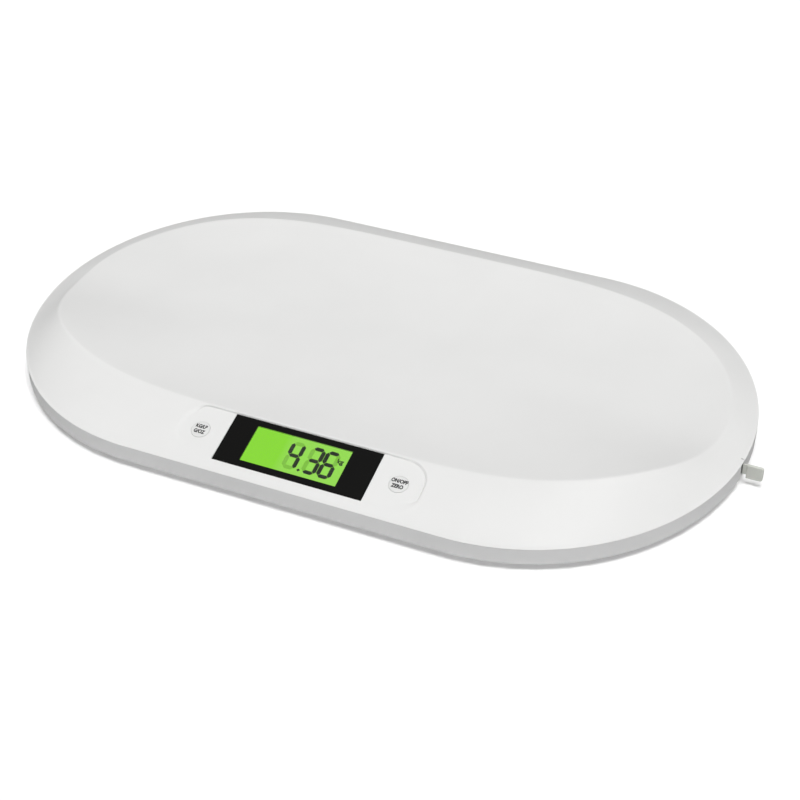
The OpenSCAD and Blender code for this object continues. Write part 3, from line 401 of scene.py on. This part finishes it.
def from_node(name, node, material, edge_mm=None, degrees=30):
    """A copy of a CAD node's shape with merged corners, and its edges rounded by edge_mm."""
    obj = bpy.data.objects.new(name, nodes[node].data.copy())
    bpy.context.scene.collection.objects.link(obj)
    obj.data.transform(nodes[node].matrix_world)
    obj.data.materials.clear()
    obj.data.materials.append(material)
    only(obj)
    bpy.ops.object.mode_set(mode="EDIT")
    bpy.ops.mesh.select_all(action="SELECT")
    bpy.ops.mesh.remove_doubles(threshold=1e-6)
    bpy.ops.mesh.dissolve_limited(angle_limit=math.radians(0.5))
    bpy.ops.object.mode_set(mode="OBJECT")
    if edge_mm:
        use_modifier(obj, "BEVEL", width=edge_mm * MM, segments=3, limit_method="ANGLE",
                     angle_limit=math.radians(35))
    smooth(obj, degrees)
    return obj


def cut(obj, cutter):
    """Takes the cutter's space out of obj and removes the cutter."""
    use_modifier(obj, "BOOLEAN", operation="DIFFERENCE", solver="EXACT", object=cutter)
    bpy.data.objects.remove(cutter, do_unlink=True)


def lettering(name, text, size_mm, at, material, height_at=None, wide=1.0, bold=0.0):
    """Flat letters centred at (x, y, z) in mm of the panel, laid on the curved height height_at."""
    bpy.ops.object.select_all(action="DESELECT")
    bpy.ops.object.text_add()
    obj = bpy.context.object
    obj.name = name
    obj.data.body = text
    obj.data.align_x = obj.data.align_y = "CENTER"
    obj.data.size = size_mm * MM
    obj.data.offset = bold * MM
    obj.data.space_line = 1.1
    bpy.ops.object.convert(target="MESH")
    obj = bpy.context.object
    obj.name = obj.data.name = name
    co = coordinates(obj.data) * [wide, 1, 1]
    if height_at:
        co[:, 2] += height_at(co[:, 0] / MM, co[:, 1] / MM) * MM
    co += np.array(at) * MM
    place_corners(obj.data, co)
    obj.data.transform(PANEL)
    obj.data.materials.clear()
    obj.data.materials.append(material)
    return obj


# ---------------------------------------------------------------- top cover
def outline_at(angles):
    """Outer edge of the body at each angle: a straight run with elliptical ends."""
    c, s = np.abs(np.cos(angles)), np.abs(np.sin(angles))
    a, b, h = BODY_LEN / 2, BODY_WID / 2, BODY_LEN / 2 - END_LEN
    # the end's ellipse gives a quadratic equation for the length of the ray at each angle
    qa = (a * c / END_LEN) ** 2 + s * s
    qb = -2 * a * c * h / END_LEN ** 2
    qc = (h / END_LEN) ** 2 - 1
    end = (-qb + np.sqrt(np.maximum(qb * qb - 4 * qa * qc, 0))) / (2 * qa)
    ray = np.where(a * c <= h * s, 1 / np.maximum(s, 1e-9), end)
    return np.stack([np.sign(np.cos(angles)) * a * c * ray,
                     np.sign(np.sin(angles)) * b * s * ray], -1)


def crest_at(angles):
    """Crest line of the tray at each angle: a squared oval whose height changes round it."""
    front = np.sin(angles) < 0
    power = np.where(front, CREST_FRONT_POWER, CREST_BACK_POWER)
    p, q = np.abs(np.cos(angles)) ** CREST_END_POWER, np.abs(np.sin(angles)) ** power
    share = p / (p + q)
    reach = np.where(front, CREST_FRONT + CREST_SHIFT, CREST_BACK - CREST_SHIFT)
    height = np.where(front, CREST_FRONT_H, CREST_BACK_H)
    bulge = np.where(front, FRONT_SHOULDER_H, -BACK_SHOULDER_DROP) * 4 * share * (1 - share)
    return np.stack([np.sign(np.cos(angles)) * CREST_HALF_LEN * share ** (1 / CREST_END_POWER),
                     CREST_SHIFT + np.sign(np.sin(angles)) * reach * (1 - share) ** (1 / power),
                     RIM_Z + CREST_END_H * share + height * (1 - share) + bulge], -1)


def band_at(angles, v):
    """Points of the band round the tray, v from 0 at the rim to 1 at the crest."""
    p, q = outline_at(angles), crest_at(angles)
    rise = v + BAND_ROUND * v * (1 - v)
    return np.stack([p[:, 0] + (q[:, 0] - p[:, 0]) * v, p[:, 1] + (q[:, 1] - p[:, 1]) * v,
                     RIM_Z + (q[:, 2] - RIM_Z) * rise], -1)


def tray_at(angles, u):
    """Points of the tray, u from 0 at its middle to 1 at the crest."""
    q = crest_at(angles)
    return np.stack([q[:, 0] * u, CREST_SHIFT + (q[:, 1] - CREST_SHIFT) * u,
                     RIM_Z + TRAY_H + (q[:, 2] - RIM_Z - TRAY_H) * u ** TRAY_POWER], -1)


def rounded(start, corner, end, steps):
    """Rings on a soft bend from start to end, drawn towards the corner, without the two ends."""
    shares = np.arange(1, steps) / steps
    return [start * (1 - t) ** 2 + corner * 2 * t * (1 - t) + end * t * t for t in shares]


def cover_rings():
    """Rings of the cover's skin, from the tray's middle over the crest and rim to the lining."""
    columns = 384
    angles = (np.arange(columns) + 0.5) * 2 * math.pi / columns
    crest, edge = crest_at(angles), outline_at(angles)
    centre = np.array([0, CREST_SHIFT])
    run_in = np.linalg.norm(crest[:, :2] - centre, axis=1)      # from the middle to the crest
    run_out = np.linalg.norm(crest[:, :2] - edge, axis=1)       # from the crest to the rim
    crest_soft, rim_soft, reveal = 1.4, 1.3, 0.12
    u_last, v_first, v_last = 1 - crest_soft / run_in, 1 - crest_soft / run_out, rim_soft / run_out
    one = np.ones(len(angles))
    rings = [tray_at(angles, u_last * (1 - (1 - t) ** 1.3)) for t in np.linspace(0, 1, 30)]
    rings += rounded(rings[-1], crest, band_at(angles, v_first), 7)
    rings += [band_at(angles, v_first + (v_last - v_first) * t) for t in np.linspace(0, 1, 22)]
    corner = np.column_stack([edge, RIM_Z + 0.55 * one])
    foot = np.column_stack([edge, (RIM_Z + reveal) * one])
    rings += rounded(rings[-1], corner, foot, 5) + [foot]
    low = COVER_T / (crest[:, 2] - RIM_Z) / (1 + BAND_ROUND)
    lining = [band_at(angles, low + (1 - low) * t) - [0, 0, COVER_T] for t in np.linspace(0, 1, 4)]
    lining[0][:, 2] = RIM_Z + reveal
    lining += [tray_at(angles, u * one) - [0, 0, COVER_T]
               for u in (0.94, 0.84, 0.7, 0.52, 0.3, 0.12, 0)]
    return rings + lining


def facet_edge(steps=264):
    """Outline of the display facet as points, with the inward normal at each."""
    half_l, half_w = PANEL_LEN / 2, (FACET_TOP + FACET_BOTTOM) / 2
    mid = (FACET_TOP - FACET_BOTTOM) / 2
    arc = PANEL_R * math.pi / 2
    lengths = [2 * (half_w - PANEL_R), arc, 2 * (half_l - PANEL_R), arc] * 2
    corners = [(1, 1), (-1, 1), (-1, -1), (1, -1)]
    points, normals = [], []
    for s in (np.arange(steps) + 0.5) / steps * sum(lengths):
        k = 0
        while s > lengths[k]:
            s -= lengths[k]
            k += 1
        cx, cy = corners[k // 2 % 4]
        if k % 2:
            turn = math.pi / 2 * (k // 2) + s / PANEL_R
            n = Vector((math.cos(turn), math.sin(turn)))
            p = Vector((cx * (half_l - PANEL_R), cy * (half_w - PANEL_R))) + n * PANEL_R
        else:
            turn = math.pi / 2 * (k // 2)
            n = Vector((round(math.cos(turn)), round(math.sin(turn))))
            along = Vector((-n.y, n.x))
            edge = half_l if n.x else half_w
            p = n * edge + along * (s - lengths[k] / 2)
        points.append((p.x, p.y + mid))
        normals.append((-n.x, -n.y))
    return np.array(points), np.array(normals)


def facet_cutter(cover):
    """The space over the facet. Its wall is crisp at the top, where a fine groove follows it,
    softer at the ends, and fades into the band below."""
    tree = BVHTree.FromPolygons([PANEL.inverted() @ v.co for v in cover.data.vertices],
                                [p.vertices[:] for p in cover.data.polygons])
    down = Vector((0, 0, -1))

    def band_height(x, y):
        hit = tree.ray_cast(Vector((x * MM, y * MM, 40 * MM)), down)
        return hit[0].z / MM

    edge, inward = facet_edge()
    fade = np.clip((-7 - edge[:, 1]) / 14, 0, 1)
    right = np.clip((edge[:, 0] - 70) / 15, 0, 1)
    left = np.clip((-edge[:, 0] - 81) / 9, 0, 1)
    width = 0.5 + 0.9 * right + 4.5 * left + 8 * fade ** 2 * (3 - 2 * fade)
    line = np.where(edge[:, 0] > 0, 1, 1 - left) * (1 - np.clip((-7 - edge[:, 1]) / 3, 0, 1))
    rings = [np.column_stack([edge + inward * (width + reach)[:, None], depth * line])
             for reach, depth in ((1.5, 0), (0.5, 0), (0.36, -0.5), (0.14, -0.5))]
    for share in (1, 0.85, 0.7, 0.55, 0.4, 0.28, 0.16, 0.08, 0):
        p = edge + inward * (width * share)[:, None]
        near = 1 - share
        weight = near * near * (3 - 2 * near) * 1.01
        rings.append(np.column_stack([p, [band_height(x, y) * weight for x, y in p]]))
    top = rings[-1].copy()
    top[:, :2] -= inward * 0.25
    top[:, 2] += 0.8
    rings.append(top)
    lid = top.copy()
    lid[:, 2] = 14
    rings.append(lid)
    return skinned("facet_cutter", rings, gloss_abs, PANEL)


def box_rings(length, width, levels, x=0.0, y=0.0):
    """Rectangular rings at (height, margin) levels, the margin added on every side."""
    rings = []
    for z, m in levels:
        l, w = length / 2 + m, width / 2 + m
        rings.append([(x + l, y - w, z), (x + l, y + w, z), (x - l, y + w, z), (x - l, y - w, z)])
    return rings


def make_cover():
    """Glossy cover with its tray, the display facet, the window's recess and the button holes."""
    cover = skinned("tray_cover", cover_rings(), gloss_abs)
    cut(cover, facet_cutter(cover))
    recess = [(-WINDOW_T, 0), (-0.2, 0), (0, 0.18), (14, 0.18)]
    seat = box_rings(WINDOW_LEN, WINDOW_WID, recess)
    cut(cover, skinned("recess_cutter", seat, gloss_abs, PANEL))
    opening = box_rings(VIEW_LEN + 3, VIEW_WID + 3, [(-9, 0), (-1, 0)], x=-VIEW_SHIFT)
    cut(cover, skinned("view_cutter", opening, gloss_abs, PANEL))
    hole = BUTTON_D / 2 + 0.12
    profile = [(0, -9), (hole, -9), (hole, -0.1), (hole + 0.1, 0.02), (hole + 0.1, 3), (0, 3)]
    for x in (-BUTTON_X, BUTTON_X):
        place = PANEL @ Matrix.Translation((x * MM, 0, 0))
        cut(cover, turned("hole_cutter", profile, gloss_abs, place))
    # notch over the tape's slot, open at the rim
    notch = box_rings(6, NOTCH_W, [(RIM_Z - 1, 0), (RIM_Z + 2.5, 0)], x=BODY_LEN / 2, y=SLOT_BACK)
    cut(cover, skinned("notch_cutter", notch, gloss_abs))
    smooth(cover, 24)
    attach(cover, "scale")
    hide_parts("top_cover")


make_cover()


# ---------------------------------------------------------------- base
def make_base():
    """Grey base and battery door: their CAD shapes, the base with its rounded ends shaded smooth
    and its flat faces kept flat, the door with soft edges."""
    base = from_node("base_tub", "base_shell", satin_abs)
    use_modifier(base, "WEIGHTED_NORMAL", keep_sharp=True)
    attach(base, "scale")
    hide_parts("base_shell")
    door = from_node("battery_hatch", "battery_door", door_abs, edge_mm=0.25)
    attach(door, "battery_door")
    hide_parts("battery_door")


make_base()


# ---------------------------------------------------------------- display
def make_window():
    """Black-printed frame of the window and the clear pane over the display."""
    outer_l, outer_w = WINDOW_LEN - 0.3, WINDOW_WID - 0.3
    outside = box_rings(outer_l, outer_w, [(-WINDOW_T, 0), (-0.15, 0), (0, -0.15)])
    inside = box_rings(VIEW_LEN, VIEW_WID, [(0, 0), (-WINDOW_T, 0)], x=-VIEW_SHIFT)
    window = skinned("window_frame", outside + inside + outside[:1], printed_acrylic, PANEL)
    pane = skinned("window_pane", box_rings(VIEW_LEN - 0.04, VIEW_WID - 0.04, [(-1.2, 0), (0, 0)],
                                            x=-VIEW_SHIFT), pane_acrylic, PANEL)
    for piece in (window, pane):
        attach(piece, "scale")
    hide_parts("display_window")


# place of each bar in a digit: x in half widths, y in half heights, and whether it is upright
SEGMENTS = {
    "a": (0, 1, False), "b": (1, 0.5, True), "c": (1, -0.5, True), "d": (0, -1, False),
    "e": (-1, -0.5, True), "f": (-1, 0.5, True), "g": (0, 0, False)}
SHOWN = {"4": "bcfg", "3": "abcdg", "6": "acdefg"}
SEGMENT_Z = -1.47           # just over the display glass
DIGIT_HALF_W, DIGIT_HALF_H, BAR_T, DIGIT_Y = 3.9, 9.8, 2.9, 0.3
DIGITS = (("4", -2.9), ("3", 11.8), ("6", 22.8))        # each figure and where its middle lies


def make_bar(name, length, thick, material):
    """One display bar along X: a flat hexagon with pointed ends."""
    bpy.ops.object.select_all(action="DESELECT")
    bpy.ops.mesh.primitive_circle_add(vertices=6, radius=1, fill_type="NGON")
    bar = bpy.context.object
    bar.name = bar.data.name = name
    l, t = length / 2, thick / 2
    place_corners(bar.data, np.array([(l - t, t, 0), (-l + t, t, 0), (-l, 0, 0), (-l + t, -t, 0),
                                      (l - t, -t, 0), (l, 0, 0)]) * MM)
    bar.data.materials.append(material)
    return bar


def make_digits():
    """The shown weight in seven-segment figures, with the unlit bars as faint darker shapes: partly
    the display's own faint segments, partly painted shade for the segments' shadows.
    """
    lit, unlit = [], []
    for digit, x in DIGITS:
        for bar_name, (sx, sy, upright) in SEGMENTS.items():
            shown = bar_name in SHOWN[digit]
            length = (DIGIT_HALF_H if upright else 2 * DIGIT_HALF_W) - 0.3
            bar = make_bar("bar", length, BAR_T, segment_ink if shown else ghost_and_shadow_ink)
            if upright:
                bar.data.transform(Matrix.Rotation(math.pi / 2, 4, "Z"))
            bar.data.transform(Matrix.Translation(
                (sx * DIGIT_HALF_W * MM, sy * DIGIT_HALF_H * MM, 0)))
            bar.data.transform(Matrix.Translation((x * MM, DIGIT_Y * MM, SEGMENT_Z * MM)))
            (lit if shown else unlit).append(bar)
    point = make_bar("bar", 2.6, 2.4, segment_ink)
    point.data.transform(Matrix.Translation((4.9 * MM, -9.6 * MM, SEGMENT_Z * MM)))
    lit.append(point)
    unit = lettering("unit_mark", "kg", 5.2, (29.3, 5.2, SEGMENT_Z), segment_ink, bold=0.2)
    for group, name in ((lit, "display_digits"), (unlit, "display_ghosts_and_painted_shadows")):
        bpy.ops.object.select_all(action="DESELECT")
        for bar in group:
            bar.select_set(True)
        bpy.context.view_layer.objects.active = group[0]
        bpy.ops.object.join()
        joined = bpy.context.object
        joined.name = joined.data.name = name
        joined.data.transform(PANEL)
        joined.matrix_world = Matrix.Identity(4)
        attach(joined, "scale")
    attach(unit, "scale")


make_window()
make_digits()


# ---------------------------------------------------------------- buttons
def key_dome(x, y):
    """Height of a button's cap over its edge level."""
    return BUTTON_PROUD + 0.18 * (1 - (x * x + y * y) / (BUTTON_D / 2) ** 2)


def make_button(side, words):
    """A round button with a softly domed cap, its flange and its stem, and its two-line label."""
    x = BUTTON_X * (1 if side == "right" else -1)
    r = BUTTON_D / 2
    flange = -COVER_T - 1.4
    cap = [(q, key_dome(q, 0)) for q in np.linspace(r - 0.7, 0, 8)]
    profile = [(0, STEM_Z), (2, STEM_Z), (2, flange), (r + 1.4, flange), (r + 1.4, flange + 1),
               (r, flange + 1), (r, -0.1), (r - 0.06, 0.14), (r - 0.24, 0.33)] + cap
    place = PANEL @ Matrix.Translation((x * MM, 0, 0))
    button = turned(side + "_key", profile, key_abs, place, degrees=50)
    label = lettering(side + "_key_label", words, 3.9, (x, 0, 0.02), label_ink,
                      height_at=key_dome, bold=0.2, wide=0.82)
    for piece in (button, label):
        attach(piece, side + "_button")
    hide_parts(side + "_button")


make_button("left", "KG/LB\nG/OZ")
make_button("right", "ON/OFF\nZERO")


# ---------------------------------------------------------------- feet
def make_foot_pads():
    """Ringed rubber pads under the feet: one is turned and copied to the other corners."""
    profile = [(0, PAD_T), (PAD_R - 0.4, PAD_T), (PAD_R, PAD_T - 0.3), (PAD_R, 0.5),
               (PAD_R - 0.4, 0.1), (PAD_R - 0.8, 0)]
    for r in PAD_GROOVES:
        profile += [(r + 0.8, 0), (r + 0.5, 0.35), (r - 0.5, 0.35), (r - 0.8, 0)]
    profile += [(0, 0)]
    first = turned("grip_pad_fl", profile, pad_silicone, Matrix.Identity(4))
    shape = first.data.copy()
    for corner, sx, sy in (("fl", -1, -1), ("fr", 1, -1), ("bl", -1, 1), ("br", 1, 1)):
        pad = first
        if corner != "fl":
            pad = first.copy()
            pad.data = shape.copy()
            pad.name = pad.data.name = "grip_pad_" + corner
            bpy.context.scene.collection.objects.link(pad)
        pad.data.transform(BODY @ Matrix.Translation((sx * FOOT_X * MM, sy * FOOT_Y * MM, 0)))
        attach(pad, "scale")
        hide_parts("foot_pad_" + corner)


make_foot_pads()


# ---------------------------------------------------------------- pull tab and tape
def make_tab():
    """Pull tab with softly rounded edges, on the thin neck that comes out of the slot, and a dark
    grey strip at the tape's end, painted shade that stands in for the shadow inside the slot."""
    side = [(WALL_X + NECK_LEN, TAB_HIGH), (WALL_X + NECK_LEN, TAB_LOW)]
    for turn, z in ((-90, TAB_LOW + TAB_R), (0, TAB_HIGH - TAB_R)):
        side += [(TAB_END - TAB_R + TAB_R * math.cos(math.radians(turn + a)),
                  z + TAB_R * math.sin(math.radians(turn + a))) for a in range(0, 91, 9)]
    faces = [[(x, TAPE_Y + y, z) for x, z in side] for y in (-TAB_T / 2, TAB_T / 2)]
    tab = skinned("tape_pull_tab", faces, tab_acetal)
    use_modifier(tab, "BEVEL", width=0.55 * MM, segments=3, limit_method="ANGLE",
                 angle_limit=math.radians(35))
    neck = skinned("neck", box_rings(NECK_LEN + 0.6, NECK_T, [(TAPE_Z - 4, 0), (TAPE_Z + 3.9, 0)],
                                     x=WALL_X + NECK_LEN / 2 + 0.3, y=TAPE_Y), tab_acetal)
    only(tab)
    neck.select_set(True)
    bpy.ops.object.join()
    smooth(tab, 40)
    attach(tab, "tape_end")
    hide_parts("pull_tab")
    # painted shade: a dark grey strip in the slot stands in for the shadow there
    slot_shade = skinned("painted_slot_shade_strip", box_rings(2.8, 1, [(TAPE_Z - 3.8, 0), (TAPE_Z + 3.8, 0)],
                                            x=WALL_X - 1.3, y=TAPE_Y), slot_shade_film)
    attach(slot_shade, "tape_end")


def pulled_place(share):
    """How far along the tape a point lies at full pull, for its share of the way at rest."""
    weight = share * share * (3 - 2 * share)
    return share * (TAPE_END - TAPE_START) + weight * TAPE_PULL


def make_tape():
    """The tape from its case to the pull tab, pushed together inside as at rest. Its printed
    scale is laid along it as it would lie when drawn out at full pull."""
    shares = np.concatenate([[-0.45], np.linspace(0, 1, 240), [1.125]])
    x = TAPE_START + shares * (TAPE_END - TAPE_START)
    bpy.ops.object.select_all(action="DESELECT")
    bpy.ops.mesh.primitive_grid_add(x_subdivisions=len(x) - 1, y_subdivisions=1)
    tape = bpy.context.object
    tape.name = tape.data.name = "drawn_tape"
    tape.matrix_world = Matrix.Identity(4)
    low, high = TAPE_Z - TAPE_W / 2, TAPE_Z + TAPE_W / 2
    place_corners(tape.data, np.array([(q, TAPE_Y, z) for z in (low, high) for q in x]) * MM)
    inside = np.clip(shares, 0, 1)
    along = (pulled_place(1) - pulled_place(inside)
             - (shares - inside) * (TAPE_END - TAPE_START))
    uv = tape.data.uv_layers.new(name="length")
    for loop in tape.data.loops:
        k = loop.vertex_index
        uv.data[loop.index].uv = (along[k % len(x)] * MM, 0 if k < len(x) else 1)
    tape.data.transform(BODY)
    tape.data.materials.append(tape_scale)
    use_modifier(tape, "SOLIDIFY", thickness=TAPE_T * MM, offset=0)
    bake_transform(tape)
    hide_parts("tape_blade")


make_tab()
make_tape()


# ---------------------------------------------------------------- studio
def shown_directly(mat, kind):
    """1 for the named kind of ray, such as "Is Camera Ray", and 0 for the rest."""
    return add(mat, "LightPath").outputs[kind]


def make_studio():
    """White floor that keeps the shadow, and a surround that is brighter in front than behind."""
    bpy.ops.object.select_all(action="DESELECT")
    bpy.ops.mesh.primitive_plane_add(size=12)
    floor = bpy.context.object
    floor.name = "studio_floor"
    mat, out = new_material("white_studio_floor")
    lift = add(mat, "Math", {"operation": "MULTIPLY", 1: 0.08},
               {0: shown_directly(mat, "Is Camera Ray")})
    glow = add(mat, "Emission", {"Color": linear("FFFFFF")}, {"Strength": lift.outputs["Value"]})
    tint = add(mat, "Mix", {"data_type": "RGBA", 6: linear("F9F9F9"), 7: linear("808080")},
               {"Factor": shown_directly(mat, "Is Glossy Ray")})
    paint = add(mat, "BsdfDiffuse", links={"Color": tint.outputs[2]})
    both = add(mat, "AddShader")
    mat.node_tree.links.new(glow.outputs["Emission"], both.inputs[0])
    mat.node_tree.links.new(paint.outputs["BSDF"], both.inputs[1])
    # from below, and just under the body, the floor is clear: the underside is lit and shows
    close = add(mat, "Math", {"operation": "LESS_THAN", 1: 6 * MM},
                {0: add(mat, "LightPath").outputs["Ray Length"]})
    opened = add(mat, "Math", {"operation": "MAXIMUM"},
                 {0: close.outputs["Value"], 1: add(mat, "NewGeometry").outputs["Backfacing"]})
    seen = add(mat, "MixShader", links={"Fac": opened.outputs["Value"], 1: both.outputs["Shader"],
                                        2: add(mat, "BsdfTransparent").outputs["BSDF"]})
    mat.node_tree.links.new(seen.outputs["Shader"], out.inputs["Surface"])
    floor.data.materials.append(mat)

    world = bpy.data.worlds.new("white_surround")
    bpy.context.scene.world = world
    world.use_nodes = True
    world.node_tree.nodes.clear()
    out = world.node_tree.nodes.new("ShaderNodeOutputWorld")
    way = add(world, "TexCoord").outputs["Generated"]
    toward = add(world, "VectorMath", {"operation": "DOT_PRODUCT", 1: (0.45, -0.80, 0.40)},
                 {0: way})
    level = add(world, "MapRange",
                {"From Min": -1.0, "From Max": 1.0, "To Min": 0.05, "To Max": 0.30},
                {"Value": toward.outputs["Value"]})
    below = add(world, "Math", {"operation": "LESS_THAN", 1: -0.1},
                {0: add(world, "SeparateXYZ", links={"Vector": way}).outputs["Z"]})
    with_below = add(world, "Math", {"operation": "MULTIPLY_ADD", 1: 0.5},
                     {0: below.outputs["Value"], 2: level.outputs["Result"]})
    strength = add(world, "Mix", {"data_type": "FLOAT", "B": 1.0},
                   {"Factor": shown_directly(world, "Is Camera Ray"),
                    "A": with_below.outputs["Value"]})
    back = add(world, "Background", {"Color": linear("FFFFFF")},
               {"Strength": strength.outputs["Result"]})
    world.node_tree.links.new(back.outputs["Background"], out.inputs["Surface"])


def add_sun(name, toward, strength, soft_degrees):
    """A distant lamp in the given direction from the scale, its edge as soft as soft_degrees."""
    bpy.ops.object.light_add(type="SUN", location=Vector(toward).normalized() * 3)
    lamp = bpy.context.object
    lamp.name = lamp.data.name = name
    lamp.data.energy = strength
    lamp.data.angle = math.radians(soft_degrees)
    lamp.visible_glossy = False
    lamp.rotation_euler = Vector(toward).to_track_quat("Z", "Y").to_euler()


make_studio()
add_sun("key_sun", (0.12, -0.15, 0.98), 2.6, 34)

# ---------------------------------------------------------------- camera
AZIMUTH, ELEVATION, DISTANCE = math.radians(23.867), math.radians(35.868), 1.151389
target = Vector((0.033456 + SHIFT * MM, -0.045248, RIM_Z * MM))
back = Vector((math.sin(AZIMUTH) * math.cos(ELEVATION), -math.cos(AZIMUTH) * math.cos(ELEVATION),
               math.sin(ELEVATION)))
bpy.ops.object.camera_add(location=target + back * DISTANCE)
camera = bpy.context.object
camera.name = "photo_camera"
camera.rotation_euler = back.to_track_quat("Z", "Y").to_euler()
camera.data.sensor_width = 36
camera.data.lens = 73.01
bpy.context.scene.camera = camera
bpy.context.scene.view_settings.view_transform = "Standard"
